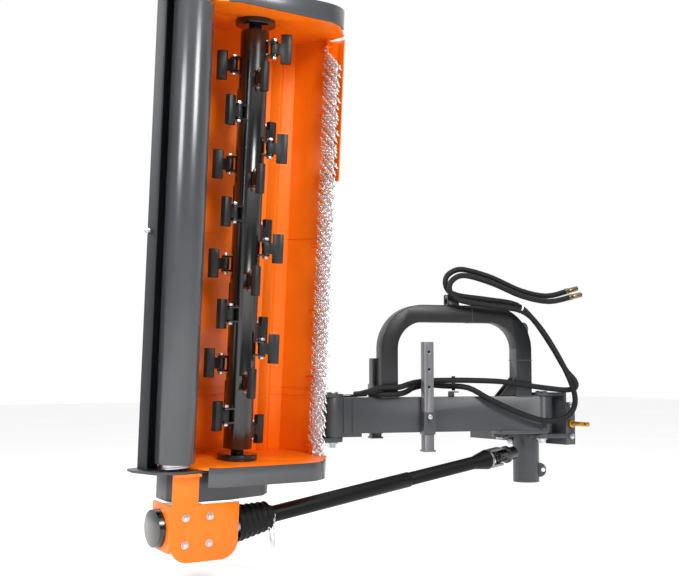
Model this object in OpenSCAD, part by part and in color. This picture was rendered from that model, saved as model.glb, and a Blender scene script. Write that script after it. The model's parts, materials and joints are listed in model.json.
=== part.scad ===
/* [Hitch] */
// Distance between the shoulders of the two lower hitch pins
hitch_span = 683; // [600:1:760]
// Radius of a lower hitch pin
hitch_pin_r = 11; // [9:0.5:14]
// Height of the top link hole above the lower hitch pins
mast_h = 460; // [400:1:500]
// Radius of the top link hole
top_link_r = 9.65; // [8:0.05:13]
// Height of the hitch cross beam
beam_h = 200; // [160:1:240]
// Depth of the hitch cross beam
beam_d = 60; // [50:1:80]
// Wall of the hitch cross beam
beam_wall = 8; // [5:0.5:12]
// Sideways place of the swing pin
swing_x = 250; // [230:1:270]
// Distance of the swing pin behind the lower hitch pins
swing_back = 100; // [90:1:120]

/* [Arm] */
// Distance between the two pins of the swing arm
arm_len = 1045; // [1000:1:1100]
// Height of the arm tube
arm_h = 160; // [140:1:180]
// Width of the arm tube
arm_w = 80; // [70:1:90]
// Wall of the arm tube
arm_wall = 8; // [5:0.5:12]
// Height of the middle of the arm above the hitch pins
arm_z = 50; // [40:1:60]
// Radius of the swing pins
pin_r = 20; // [16:0.5:24]
// Heading of the folded arm, seen from above
arm_heading = 252; // [248:1:256]
// Height of the bow's top above the hitch pins
bow_top = 555; // [500:1:600]
// Outer size of the bow's square tube
bow_w = 80; // [60:1:90]
// Centre line radius of the bow's bends
bow_bend = 165; // [140:1:200]
// Place of the bow's leg nearest to the hitch, along the arm
bow_near = 108; // [105:1:120]
// Place of the bow's far leg, along the arm
bow_far = 780; // [740:1:800]
// Outer size of a parking leg's square tube
leg_w = 45; // [38:1:50]
// Wall of a parking leg
leg_wall = 4; // [3:0.5:6]
// Length of the near parking leg
leg_near_len = 490; // [440:1:520]
// Length of the far parking leg
leg_far_len = 360; // [330:1:400]

/* [Head] */
// Clear width between the end plates
cut_w = 1750; // [1500:1:1800]
// Thickness of an end plate
plate_t = 8; // [5:0.5:12]
// Thickness of the deck sheet
deck_t = 6; // [4:0.5:8]
// Height of the deck above the rotor axis
deck_up = 220; // [212:1:235]
// Depth of the skid soles below the rotor axis
sole_down = 220; // [205:1:240]
// Height of the tilt axis above the rotor axis
tilt_up = 315; // [310:1:330]
// Place of the tilt axis from the inner end plate, along the rotor
tilt_in = 164; // [160:1:175]
// Angle of the folded head above level
fold_angle = 85.8; // [84:0.1:90]
// Radius of the rotor tube
rotor_r = 57; // [50:0.5:60]
// Wall of the rotor tube
rotor_wall = 10; // [6:0.5:12]
// Number of hammers
hammers = 24; // [18:6:24]
// Length of a hammer from its bolt
hammer_len = 72; // [66:1:80]
// Width of a hammer along the rotor
hammer_w = 116; // [100:1:124]
// Radius of the hammer bolts
hammer_bolt_r = 8; // [6:0.5:10]
// Radius of the rear roller
roller_r = 76; // [60:0.5:80]
// Wall of the rear roller
roller_wall = 6; // [4:0.5:10]
// Distance of the roller behind the rotor
roller_back = 330; // [325:1:345]
// Height of the roller above the soles
roller_lift = 28.5; // [20:0.5:35]

/* [Drive] */
// Radius of the rotor's belt pulley
rotor_pulley_r = 62; // [55:1:70]
// Radius of the gearbox's belt pulley
drive_pulley_r = 74; // [65:1:80]
// Distance of the gearbox behind the rotor
drive_back = 245; // [240:1:255]
// Drop of the gearbox below the rotor axis
drive_down = 60; // [55:1:70]
// Distance of the input shaft below the inner end plate, along the rotor
input_out = 232; // [226:1:250]
// Radius of the driveline's outer guard tube
guard_r = 33; // [31:0.5:36]
// Distance of the driveline's end joint behind the lower hitch pins
yoke_back = 357; // [320:1:400]
// Slope of the parked driveline
shaft_slope = 8; // [5:0.5:10]

/* [Hydraulics] */
// Outer radius of the cylinder barrels
barrel_r = 30; // [25:0.5:35]
// Radius of the piston rods
piston_rod_r = 15; // [12:0.5:18]
// Outer radius of a hose
hose_r = 13; // [10:0.5:13]

/* [Fits] */
// Radial running clearance of pins and shafts
run_gap = 0.05; // [0.02:0.01:0.1]
// Side clearance between parts that turn beside each other
side_gap = 2; // [1:0.5:3]
// Clearance between soft pieces and what carries them
soft_gap = 0.3; // [0.2:0.05:0.5]

/* [Hidden] */
$fn = 64;

// Directions and places that follow from the sizes above
arm_top = arm_z + arm_h / 2;
arm_low = arm_z - arm_h / 2;
plate_15 = 15;
wear_t = 16;
boss_r = pin_r + 30;
fork_top = arm_top + side_gap;
fork_low = arm_low - wear_t - side_gap;
outer_x = swing_x + arm_len * cos(arm_heading);
outer_y = -swing_back + arm_len * sin(arm_heading);
// Offset of the parallel link from the arm, the same at both ends
link_reach = 205;
link_heading = 212;
link_dx = link_reach * cos(link_heading);
link_dy = link_reach * sin(link_heading);
link_z = arm_z - 45;
link_h = 40;
link_w = 40;
link_pin_r = 12.5;
// Swing cylinder
crank_r = 150;
crank_heading = 202;
swing_cyl_z = arm_z + 25;
base_x = -305;
base_y = -90;
// Tilt axis and head
tilt_x = outer_x - 57;
tilt_rise = 38;
tilt_z = arm_z + tilt_rise;
rotor_y = outer_y - 622;
head_front = 400;
flat_front = 330;
flat_rear = -170;
front_drop = 65;
rear_v = -335;
rear_w = 20;
// Tilt lugs along the carrier, from the rotor line
lug_t = 30;
ear_t = 15;
lug_v = [290, -90];
cyl_v = 100;
tilt_pin_r = 17.5;
eye_t = 40;
eye_r = 26;
eye_pin_r = 12.5;
cyl_base_dx = -115;
cyl_base_dz = 500;
cyl_crank = 125;
cyl_crank_angle = 83;
// Rotor and hammers
row_r = 80;
hammer_rows = 6;
row_step = 360 / hammer_rows;
first_hammer = 112;
hammer_pitch = (cut_w - 2 * first_hammer) / (hammers - 1);
hammer_tip = row_r + hammer_len;
stub_r = 25;
// Roller
roller_w = roller_r - sole_down + roller_lift;
roller_in = 18;
bracket_t = 10;
// Drive
cover_in = 12;
cover_deep = 118;
belt_u = -62;
belt_t = 44;
input_u = -input_out;
drive_up = -drive_down;
input_r = 17.5;
joint_v = 40;

module arm_place() {
    translate([swing_x, -swing_back, 0]) rotate([0, 0, arm_heading]) children();
}

module head_place() {
    translate([tilt_x, rotor_y, tilt_z]) rotate([0, -fold_angle, 0])
        translate([-tilt_in, 0, -tilt_up]) children();
}

// A profile drawn with x forward and y upward, raised along the rotor from u0 to u1
module along_rotor(u0, u1) {
    translate([u0, 0, 0]) rotate([90, 0, 90]) linear_extrude(u1 - u0) children();
}

// A cylinder along the rotor direction at place v forward and w up
module rotor_bar(r, u0, u1, v = 0, w = 0) {
    translate([u0, v, w]) rotate([0, 90, 0]) cylinder(r = r, h = u1 - u0);
}

// A cylinder along Y
module y_bar(r, y0, y1, x = 0, z = 0) {
    translate([x, y1, z]) rotate([90, 0, 0]) cylinder(r = r, h = y1 - y0);
}

function unit(v) = v / norm(v);
function left_of(v) = [-v[1], v[0]];

// Outline of a bent sheet: the points are its outer line, the wall lies on the left of the way they go
function sheet_side(p, t) = [for (i = [0:len(p) - 1])
    let (a = i > 0 ? unit(p[i] - p[i - 1]) : unit(p[1] - p[0]),
         b = i < len(p) - 1 ? unit(p[i + 1] - p[i]) : a,
         m = left_of(a) + left_of(b))
    p[i] + m * 2 * t / (m * m)];
function reversed(p) = [for (i = [len(p) - 1:-1:0]) p[i]];
module sheet(p, t) {
    polygon(concat(p, reversed(sheet_side(p, t))));
}
function arc(cx, cy, r, a0, a1, n) = [for (i = [0:n])
    let (a = a0 + (a1 - a0) * i / n) [cx + r * cos(a), cy + r * sin(a)]];

// Hitch: cross beam, mast, swing fork and support post

hitch_plate_t = 20;
ear_12 = 12;
post_r = 63;
post_x = swing_x - 110;
post_y = -swing_back + 1;
post_low = -284;
link_x = swing_x + link_dx;
link_y = -swing_back + link_dy;
link_top = link_z + link_h / 2;
link_low = link_z - link_h / 2;
mast_t = 10;
mast_gap = 46;
rear_face = -beam_d / 2;
shoulder = hitch_span / 2;

// Plate from the beam's rear face to a round end about a point
module reach_plate(x, y, r, z, t, foot = 60) {
    translate([0, 0, z]) linear_extrude(t) {
        translate([x, y]) circle(r);
        polygon([[x - r, y], [x + r, y], [x + foot, rear_face], [x - foot, rear_face]]);
    }
}

module hitch_frame() color("#4c4e51") difference() {
    union() {
        difference() {
            translate([-shoulder, rear_face, -beam_h / 2]) cube([hitch_span, beam_d, beam_h]);
            translate([-shoulder + plate_15, rear_face + beam_wall, -beam_h / 2 + beam_wall])
                cube([hitch_span - 2 * plate_15, beam_d - 2 * beam_wall, beam_h - 2 * beam_wall]);
            for (x = [-200, 0, 200])
                translate([x, 0, -beam_h / 2 - 1]) cylinder(r = 8, h = beam_wall + 2);
        }
        for (s = [-1, 1])
            translate([s * (mast_gap + mast_t) / 2, 0, 0]) rotate([90, 0, 90])
                translate([0, 0, -mast_t / 2]) linear_extrude(mast_t) {
                    polygon([[rear_face, beam_h / 2], [-rear_face, beam_h / 2], [32, mast_h], [-32, mast_h]]);
                    translate([0, mast_h]) circle(32);
                }
        for (z = [swing_cyl_z - eye_t / 2 - side_gap - ear_12, swing_cyl_z + eye_t / 2 + side_gap])
            reach_plate(base_x, base_y, 30, z, ear_12, 34);
    }
    translate([-mast_gap, 0, mast_h]) rotate([0, 90, 0]) cylinder(r = top_link_r, h = 2 * mast_gap);
    translate([base_x, base_y, swing_cyl_z - 60]) cylinder(r = eye_pin_r + run_gap, h = 120);
    for (s = [-1, 1])
        translate([s * shoulder, 0, 0]) rotate([0, 90, 0])
            cylinder(r = hitch_pin_r + run_gap, h = 80, center = true);
}

// Swing fork behind the beam: two plates, the inner pivot of the parallel link and the round post
post_bolt_z = post_low + 195;
module swing_fork() color("#4c4e51") difference() {
    union() {
        reach_plate(swing_x, -swing_back, 58, fork_top, plate_15, 80);
        translate([swing_x - 80, rear_face, beam_h / 2])
            cube([160, plate_15, fork_top + plate_15 - beam_h / 2]);
        reach_plate(swing_x, -swing_back, 62, fork_low - hitch_plate_t, hitch_plate_t, 90);
        translate([0, 0, fork_low - hitch_plate_t]) linear_extrude(hitch_plate_t) {
            translate([link_x, link_y]) circle(36);
            translate([post_x, post_y]) circle(post_r + 14);
            polygon([[link_x - 36, link_y], [post_x, post_y - post_r - 14], [swing_x + 60, -swing_back],
                [swing_x, rear_face], [link_x - 36, rear_face]]);
        }
        translate([link_x, link_y, fork_low]) cylinder(r = 27, h = link_low - side_gap - fork_low);
        reach_plate(link_x, link_y, 28, link_top + side_gap, ear_12, 40);
        translate([post_x, post_y, post_low])
            cylinder(r = post_r, h = fork_low - hitch_plate_t - post_low);
        translate([post_x + 44, post_y + 44, post_low + 57]) rotate([0, 0, 45]) rotate([90, 0, 0])
            translate([0, 0, -8]) linear_extrude(16) {
                circle(34);
                translate([-26, -34]) square([26, 68]);
            }
    }
    translate([swing_x, -swing_back, fork_low - hitch_plate_t - 1])
        cylinder(r = pin_r + run_gap, h = fork_top + plate_15 - fork_low + hitch_plate_t + 2);
    translate([link_x, link_y, fork_low - hitch_plate_t - 1]) cylinder(r = link_pin_r + run_gap, h = 130);
    translate([-shoulder, rear_face, -beam_h / 2]) cube([hitch_span, beam_d, beam_h]);
    translate([post_x, post_y, post_low - 1])
        cylinder(r = post_r - beam_wall, h = fork_low - hitch_plate_t - post_low - 20);
    translate([post_x + 58, post_y + 58, post_low + 57]) rotate([0, 0, 45]) rotate([90, 0, 0])
        cylinder(r = 10, h = 60, center = true);
    translate([post_x, post_y, post_bolt_z]) rotate([0, 0, 45]) rotate([0, -90, 0])
        translate([0, 0, post_r - 20]) cylinder(r = 9 + run_gap, h = 40);
}

hitch_pin_out = 110;
module lower_hitch_pins() color("#c9a24a") for (s = [-1, 1]) mirror([s < 0 ? 1 : 0, 0, 0])
    translate([shoulder, 0, 0]) rotate([0, 90, 0]) difference() {
        union() {
            translate([0, 0, -plate_15]) cylinder(r = hitch_pin_r, h = plate_15 + hitch_pin_out);
            cylinder(r = hitch_pin_r * 1.7, h = 12);
            translate([0, 0, -plate_15 - 16]) cylinder(r = hitch_pin_r * 1.7, h = 16, $fn = 6);
        }
        translate([0, 0, hitch_pin_out - 14]) rotate([90, 0, 0]) cylinder(r = 5.5, h = 60, center = true);
    }

module head_pin(r, low, high, cap_r, cap_t) {
    translate([0, 0, low - 26]) cylinder(r = r, h = high - low + 26);
    translate([0, 0, high]) cylinder(r = cap_r, h = cap_t);
    translate([0, 0, low - 8]) cylinder(r = cap_r, h = 8 - soft_gap);
}

module swing_pins() color("#c4c6c8") {
    translate([swing_x, -swing_back, 0])
        head_pin(pin_r, fork_low - hitch_plate_t, fork_top + plate_15 + soft_gap, pin_r + 9, 8);
    link_pin(link_x, link_y);
}

module hitch_bolts() color("#c4c6c8") {
    translate([post_x, post_y, post_bolt_z]) rotate([0, 0, 45]) rotate([0, -90, 0])
        translate([0, 0, post_r]) {
            translate([0, 0, -14]) cylinder(r = 9, h = 42);
            translate([0, 0, soft_gap]) cylinder(r = 19, h = 8);
            translate([0, 0, 8 + soft_gap]) cylinder(r = 17, h = 14, $fn = 6);
        }
    for (z = [-60, 85])
        translate([shoulder + soft_gap, 0, z]) rotate([0, 90, 0]) cylinder(r = 15, h = 11, $fn = 6);
}

// Swing arm with its bosses, wear plate, crank for the swing cylinder and sleeves for the parking legs
sleeve_w = leg_w + 2 * leg_wall + 2;
leg_gap = 0.3;
near_leg_x = 609;
far_leg_x = 815;
leg_off = arm_w / 2 + sleeve_w / 2;
sleeve_low = arm_low - 8;
near_sleeve_top = arm_low + 92;
far_sleeve_top = arm_top + 60;
crank_turn = crank_heading - arm_heading;

module sleeve(x, y, low, high) {
    translate([x - sleeve_w / 2, y - sleeve_w / 2, low]) difference() {
        cube([sleeve_w, sleeve_w, high - low]);
        translate([(sleeve_w - leg_w) / 2 - leg_gap, (sleeve_w - leg_w) / 2 - leg_gap, -1])
            cube([leg_w + 2 * leg_gap, leg_w + 2 * leg_gap, high - low + 2]);
    }
}

module swing_arm() color("#57595c") arm_place() difference() {
    union() {
        difference() {
            translate([0, -arm_w / 2, arm_low]) cube([arm_len, arm_w, arm_h]);
            translate([-1, -arm_w / 2 + arm_wall, arm_low + arm_wall])
                cube([arm_len + 2, arm_w - 2 * arm_wall, arm_h - 2 * arm_wall]);
        }
        for (x = [0, arm_len])
            translate([x, 0, arm_low]) cylinder(r = boss_r, h = arm_h);
        for (x = [0, arm_len])
            translate([x, 0, arm_low - wear_t]) cylinder(r = boss_r, h = wear_t);
        translate([0, -60, arm_low - wear_t]) cube([235, 120, wear_t]);
        translate([arm_len - 130, -arm_w / 2, arm_low - wear_t]) cube([130, arm_w, wear_t]);
        for (z = [swing_cyl_z - eye_t / 2 - side_gap - ear_12, swing_cyl_z + eye_t / 2 + side_gap])
            translate([0, 0, z]) linear_extrude(ear_12) rotate(crank_turn) {
                translate([crank_r, 0]) circle(28);
                polygon([[0, -boss_r], [crank_r, -28], [crank_r, 28], [boss_r, boss_r]]);
            }
        sleeve(near_leg_x, leg_off, sleeve_low, near_sleeve_top);
        sleeve(far_leg_x, -leg_off, sleeve_low, far_sleeve_top);
    }
    for (x = [0, arm_len])
        translate([x, 0, arm_low - wear_t - 1]) cylinder(r = pin_r + run_gap, h = arm_h + wear_t + 2);
    rotate([0, 0, crank_turn]) translate([crank_r, 0, swing_cyl_z - 60])
        cylinder(r = eye_pin_r + 6, h = 120);
    for (s = [[near_leg_x, leg_off, near_sleeve_top - 20], [far_leg_x, -leg_off, far_sleeve_top - 20]])
        translate([s[0], s[1], s[2]]) rotate([90, 0, 0]) cylinder(r = 6, h = 2 * leg_off, center = true);
}

// Square bow over the arm: two legs, two quarter bends and the bar, with gussets and a hose bracket
module bow_section() {
    difference() {
        translate([-bow_w / 2, -bow_w / 2]) square(bow_w);
        translate([-bow_w / 2 + arm_wall, -bow_w / 2 + arm_wall]) square(bow_w - 2 * arm_wall);
    }
}
bow_bar_z = bow_top - bow_w / 2;
module arm_bow() color("#4c4e51") arm_place() {
    leg_top = bow_bar_z - bow_bend;
    for (x = [bow_near, bow_far])
        translate([x, 0, arm_top]) linear_extrude(leg_top - arm_top) bow_section();
    translate([bow_near + bow_bend, 0, leg_top]) rotate([90, 0, 0]) rotate([0, 0, 90])
        rotate_extrude(angle = 90) translate([bow_bend, 0]) bow_section();
    translate([bow_far - bow_bend, 0, leg_top]) rotate([90, 0, 0])
        rotate_extrude(angle = 90) translate([bow_bend, 0]) bow_section();
    translate([bow_near + bow_bend, 0, bow_bar_z]) rotate([0, 90, 0])
        linear_extrude(bow_far - bow_near - 2 * bow_bend) bow_section();
    for (s = [-1, 1])
        translate([bow_near + bow_w / 2, s * (bow_w / 2 - 12) - 5, arm_top]) rotate([90, 0, 0])
            translate([0, 0, -10]) linear_extrude(10) polygon([[0, 0], [85, 0], [0, 95]]);
    translate([430, -25, bow_top]) difference() {
        cube([60, 50, 52]);
        translate([-1, 8, 8]) cube([62, 34, 50]);
    }
}

// Parking legs, drawn up in their sleeves
module parking_leg(len, foot_z) {
    translate([0, 0, foot_z]) {
        difference() {
            translate([-leg_w / 2, -leg_w / 2, 0]) cube([leg_w, leg_w, len]);
            translate([-leg_w / 2 + leg_wall, -leg_w / 2 + leg_wall, 8])
                cube([leg_w - 2 * leg_wall, leg_w - 2 * leg_wall, len]);
            for (k = [0:2])
                translate([0, 0, len - 45 - 80 * k]) rotate([90, 0, 0])
                    cylinder(r = 6, h = 2 * leg_w, center = true);
        }
        translate([-foot_w / 2, -foot_w / 2, -8]) cube([foot_w, foot_w, 8]);
    }
}
foot_w = leg_w * 1.25;
near_foot = sleeve_low - 70;
far_foot = sleeve_low - 14;
module near_leg() color("#57595c") arm_place()
    translate([near_leg_x, leg_off, 0]) parking_leg(leg_near_len, near_foot);
module far_leg() color("#57595c") arm_place()
    translate([far_leg_x, -leg_off, 0]) parking_leg(leg_far_len, far_foot);
pin_places = [[near_leg_x, leg_off, near_sleeve_top], [far_leg_x, -leg_off, far_sleeve_top]];
module leg_pins() color("#c4c6c8") arm_place() for (s = pin_places)
    translate([s[0], s[1] + sign(s[1]) * sleeve_w / 2, s[2] - 20]) rotate([sign(s[1]) * -90, 0, 0]) {
        translate([0, 0, -leg_wall]) cylinder(r = 6 - run_gap, h = leg_wall);
        cylinder(r = 11, h = 9);
    }

// Parallel link beside the arm
module parallel_link() color("#57595c") translate([link_x, link_y, link_low]) rotate([0, 0, arm_heading])
    linear_extrude(link_h) difference() {
        union() {
            translate([0, -link_w / 2]) square([arm_len, link_w]);
            for (x = [0, arm_len])
                translate([x, 0]) circle(27);
        }
        for (x = [0, arm_len])
            translate([x, 0]) circle(link_pin_r + run_gap);
    }
link_pin_low = fork_low - hitch_plate_t;
module link_pin(x, y) {
    translate([x, y, link_pin_low - 10])
        cylinder(r = link_pin_r, h = link_top + side_gap + ear_12 + 10 - link_pin_low);
    translate([x, y, link_pin_low - 10]) cylinder(r = link_pin_r + 6, h = 10 - soft_gap);
}

// Carrier between the arm and the head: fork, web, beam, tilt lugs and the stand of the tilt cylinder
carrier_web_y = outer_y - 150;
web_x = outer_x + link_dx - 36;
carrier_web_t = 16;
beam_box = 80;
beam_x = tilt_x - 115;
beam_z = tilt_z + 35;
beam_end = rotor_y + min(lug_v) - 45;
cyl_y = rotor_y + cyl_v;
cyl_base_x = tilt_x + cyl_base_dx;
cyl_base_z = tilt_z + cyl_base_dz;
fork_gap = eye_t / 2 + side_gap;
stand_gap = barrel_r + 8;

module carrier_plate(z, t, r) {
    translate([0, 0, z]) linear_extrude(t) {
        translate([outer_x, outer_y]) circle(r);
        polygon([[outer_x - r + 4, outer_y], [outer_x + r - 4, outer_y], [outer_x + r - 4, carrier_web_y],
            [beam_x, carrier_web_y]]);
    }
}

// Plate standing across Y with a round eye at the tilt axis, joined to the beam
module tilt_lug(y, t) {
    y0 = y - t / 2;
    translate([0, y0 + t, 0]) rotate([90, 0, 0]) linear_extrude(t) {
        translate([tilt_x, tilt_z]) circle(tilt_pin_r + 14);
        polygon([[tilt_x - 18, tilt_z - 26], [tilt_x + 20, tilt_z + 22], [beam_x + beam_box, beam_z + 60],
            [beam_x + 20, beam_z + 2]]);
    }
}

module carrier() color("#57595c") difference() {
    union() {
        carrier_plate(fork_top, plate_15, boss_r);
        carrier_plate(fork_low - hitch_plate_t, hitch_plate_t, boss_r);
        translate([0, 0, fork_low - hitch_plate_t]) linear_extrude(hitch_plate_t) {
            translate([outer_x + link_dx, outer_y + link_dy]) circle(36);
            translate([outer_x + link_dx - 30, carrier_web_y - 1]) square([114, 60]);
        }
        translate([outer_x + link_dx, outer_y + link_dy, fork_low])
            cylinder(r = 27, h = link_low - side_gap - fork_low);
        translate([0, 0, link_top + side_gap]) linear_extrude(ear_12) {
            translate([outer_x + link_dx, outer_y + link_dy]) circle(27);
            translate([outer_x + link_dx - 24, carrier_web_y - 1])
                square([48, outer_y + link_dy - carrier_web_y + 1]);
        }
        translate([web_x, carrier_web_y - carrier_web_t, fork_low - hitch_plate_t])
            cube([outer_x + boss_r - web_x, carrier_web_t, beam_z + beam_box - fork_low + hitch_plate_t]);
        difference() {
            translate([beam_x, beam_end, beam_z])
                cube([beam_box, carrier_web_y - carrier_web_t - beam_end, beam_box]);
            translate([beam_x + 6, beam_end - 1, beam_z + 6])
                cube([beam_box - 12, carrier_web_y - carrier_web_t - beam_end - 20, beam_box - 12]);
        }
        for (v = lug_v)
            tilt_lug(rotor_y + v, lug_t);
        for (s = [-1, 1]) {
            translate([0, cyl_y + s * (stand_gap + ear_12 / 2) + ear_12 / 2, 0]) rotate([90, 0, 0])
                linear_extrude(ear_12) {
                    translate([cyl_base_x, cyl_base_z]) circle(30);
                    polygon([[cyl_base_x - 30, cyl_base_z], [beam_x, beam_z + beam_box],
                        [beam_x + beam_box, beam_z + beam_box], [cyl_base_x + 30, cyl_base_z]]);
                }
            y_bar(24, cyl_y + (s > 0 ? fork_gap : -stand_gap), cyl_y + (s > 0 ? stand_gap : -fork_gap),
                cyl_base_x, cyl_base_z);
        }
    }
    translate([outer_x, outer_y, fork_low - hitch_plate_t - 1])
        cylinder(r = pin_r + run_gap, h = fork_top + plate_15 - fork_low + hitch_plate_t + 2);
    translate([outer_x + link_dx, outer_y + link_dy, fork_low - hitch_plate_t - 1])
        cylinder(r = link_pin_r + run_gap, h = 130);
    for (v = lug_v)
        y_bar(tilt_pin_r + run_gap, rotor_y + v - lug_t, rotor_y + v + lug_t, tilt_x, tilt_z);
    y_bar(eye_pin_r + run_gap, cyl_y - 60, cyl_y + 60, cyl_base_x, cyl_base_z);
}

ear_gap = 1;
tilt_pin_half = lug_t / 2 + ear_gap + ear_t + 12;
module tilt_pin(v) {
    y_bar(tilt_pin_r, rotor_y + v - tilt_pin_half, rotor_y + v + tilt_pin_half, tilt_x, tilt_z);
    for (s = [-1, 1])
        y_bar(tilt_pin_r + 7, rotor_y + v + s * (tilt_pin_half - 6) - 5,
            rotor_y + v + s * (tilt_pin_half - 6) + 5, tilt_x, tilt_z);
}
module carrier_pins() color("#c4c6c8") {
    translate([outer_x, outer_y, 0])
        head_pin(pin_r, fork_low - hitch_plate_t, fork_top + plate_15 + soft_gap, pin_r + 9, 8);
    link_pin(outer_x + link_dx, outer_y + link_dy);
    for (v = lug_v)
        tilt_pin(v);
}

// Cylinders: barrel with its base eye and pin, rod with its eye, along X from the base eye
function len2(a, b) = norm([a, b]);
swing_eye_x = swing_x + crank_r * cos(crank_heading);
swing_eye_y = -swing_back + crank_r * sin(crank_heading);
swing_cyl_len = len2(swing_eye_x - base_x, swing_eye_y - base_y);
swing_cyl_turn = atan2(swing_eye_y - base_y, swing_eye_x - base_x);
tilt_eye_x = tilt_x + cyl_crank * cos(cyl_crank_angle);
tilt_eye_z = tilt_z + cyl_crank * sin(cyl_crank_angle);
tilt_cyl_len = len2(tilt_eye_x - cyl_base_x, tilt_eye_z - cyl_base_z);
tilt_cyl_turn = atan2(tilt_eye_z - cyl_base_z, tilt_eye_x - cyl_base_x);
barrel_wall = 6;
rod_dead = 62;
piston_at = eye_r + 16;

module cylinder_barrel(len, pin_half) {
    tube = len - rod_dead;
    difference() {
        union() {
            translate([0, 0, -eye_t / 2]) cylinder(r = eye_r, h = eye_t);
            rotate([0, 90, 0]) cylinder(r = barrel_r, h = tube);
            translate([tube - 34, 0, 0]) rotate([0, 90, 0]) cylinder(r = barrel_r + 5, h = 34);
            for (x = [52, tube - 17])
                translate([x, 0, 0]) cylinder(r = 11, h = barrel_r + 6);
        }
        for (s = [-1, 1])
            translate([-barrel_r - 10, -60, s * 50 - 50 + s * eye_t / 2])
                cube([eye_r + barrel_r + 18, 120, 100]);
        translate([0, 0, -50]) cylinder(r = eye_pin_r + run_gap, h = 100);
        translate([eye_r + 14, 0, 0]) rotate([0, 90, 0])
            cylinder(r = barrel_r - barrel_wall, h = tube - eye_r - 14 - 30);
        translate([tube - 40, 0, 0]) rotate([0, 90, 0]) cylinder(r = piston_rod_r + run_gap, h = 50);
    }
    translate([0, 0, -pin_half]) cylinder(r = eye_pin_r, h = 2 * pin_half);
}
module cylinder_rod(len) {
    translate([piston_at, 0, 0]) rotate([0, 90, 0]) cylinder(r = piston_rod_r, h = len - piston_at - 10);
    translate([piston_at, 0, 0]) rotate([0, 90, 0]) cylinder(r = barrel_r - barrel_wall - run_gap, h = 20);
    translate([len, 0, -eye_t / 2]) cylinder(r = eye_r, h = eye_t);
}
module swing_place() {
    translate([base_x, base_y, swing_cyl_z]) rotate([0, 0, swing_cyl_turn]) children();
}
module tilt_place() {
    translate([cyl_base_x, cyl_y, cyl_base_z]) rotate([90, 0, 0]) rotate([0, 0, tilt_cyl_turn]) children();
}
module swing_barrel() color("#1c1d1f") swing_place() cylinder_barrel(swing_cyl_len, fork_gap + ear_12);
module swing_rod() color("#d5d7d9") swing_place() cylinder_rod(swing_cyl_len);
module tilt_barrel() color("#1c1d1f") tilt_place() cylinder_barrel(tilt_cyl_len, stand_gap + ear_12);
module tilt_rod() color("#d5d7d9") tilt_place() cylinder_rod(tilt_cyl_len);

// Head: deck with hinge ears, end plates, skids, front lip and counter blade
deck_line = [[rear_v, rear_w], [flat_rear, deck_up], [flat_front, deck_up], [head_front, front_drop]];
// The tilt cylinder's eye in the head's own frame
crank_u = tilt_in + cyl_crank * cos(cyl_crank_angle - fold_angle);
crank_w = tilt_up + cyl_crank * sin(cyl_crank_angle - fold_angle);
ear_r = tilt_pin_r + 15;

// Upright plate on the deck, across the forward direction, from v0 to v1
module deck_ear(v0, v1, eye_u, eye_w, foot, r, bore) {
    translate([0, v1, 0]) rotate([90, 0, 0]) linear_extrude(v1 - v0) difference() {
        union() {
            translate([eye_u, eye_w]) circle(r);
            polygon([[eye_u - r, eye_w], [eye_u - foot, deck_up],
                [eye_u + foot, deck_up], [eye_u + r, eye_w]]);
        }
        translate([eye_u, eye_w]) circle(bore);
    }
}

module deck() color("#e8590c") head_place() {
    along_rotor(0, cut_w) sheet(deck_line, -deck_t);
    for (v = lug_v, s = [-1, 1]) {
        mid = v + s * (lug_t / 2 + ear_gap + ear_t / 2);
        deck_ear(mid - ear_t / 2, mid + ear_t / 2, tilt_in, tilt_up, ear_r + 5, ear_r, tilt_pin_r + run_gap);
    }
    for (s = [-1, 1]) {
        mid = cyl_v + s * (fork_gap + ear_12 / 2);
        deck_ear(mid - ear_12 / 2, mid + ear_12 / 2, crank_u, crank_w, 75, 28, eye_pin_r + 6);
    }
    for (u = [480, 1180])
        translate([u, 0, 0]) along_rotor(-4, 4)
            polygon([[flat_rear + 40, deck_up], [flat_front - 30, deck_up], [flat_front - 60, deck_up + 30],
                [flat_rear + 70, deck_up + 30]]);
}

sole_t = 8;
sole_front = 195;
sole_rear = -187;
nose_r = 150;
sole_gap = 1;
plate_line = concat(deck_line, [[head_front + 4, -40]],
    arc(sole_front, -sole_down + sole_t + nose_r, nose_r - sole_gap, -30, -90, 6),
    [[sole_rear, -sole_down + sole_t + sole_gap], [rear_v + 25, -95]]);
module end_plate_shape() {
    difference() {
        polygon(plate_line);
        circle(stub_r + 14);
    }
}
module inner_end_plate() color("#e8590c") head_place() along_rotor(-plate_t, 0) end_plate_shape();
module outer_end_plate() color("#e8590c") head_place() along_rotor(cut_w, cut_w + plate_t) end_plate_shape();

// Skids: bent soles outside the end plates with an upright flange
skid_w = 72;
skid_line = concat([[sole_rear - 40, -sole_down + 25], [sole_rear, -sole_down]],
    arc(sole_front, -sole_down + nose_r + sole_t, nose_r + sole_t, -90, -33, 6));
module skid_shape() {
    sheet(skid_line, sole_t - soft_gap);
}
module skids() color("#666768") head_place() for (end = [0, 1])
    translate([end * cut_w, 0, 0]) mirror([end ? 0 : 1, 0, 0]) {
        along_rotor(-5, skid_w - 5) skid_shape();
        along_rotor(plate_t, plate_t + 6) polygon(concat(
            [[sole_rear + 20, -sole_down + sole_t - 1], [sole_rear + 40, -sole_down + 60]],
            [[sole_front - 30, -sole_down + 60], [sole_front, -sole_down + sole_t - 1]]));
    }
module skid_bolts() color("#c4c6c8") head_place() for (end = [0, 1], v = [-30, 110])
    translate([end ? cut_w + plate_t + 6 : -plate_t - 6, v, -sole_down + 45]) rotate([0, end ? 90 : -90, 0]) {
        cylinder(r = 12, h = 9, $fn = 6);
    }

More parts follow.
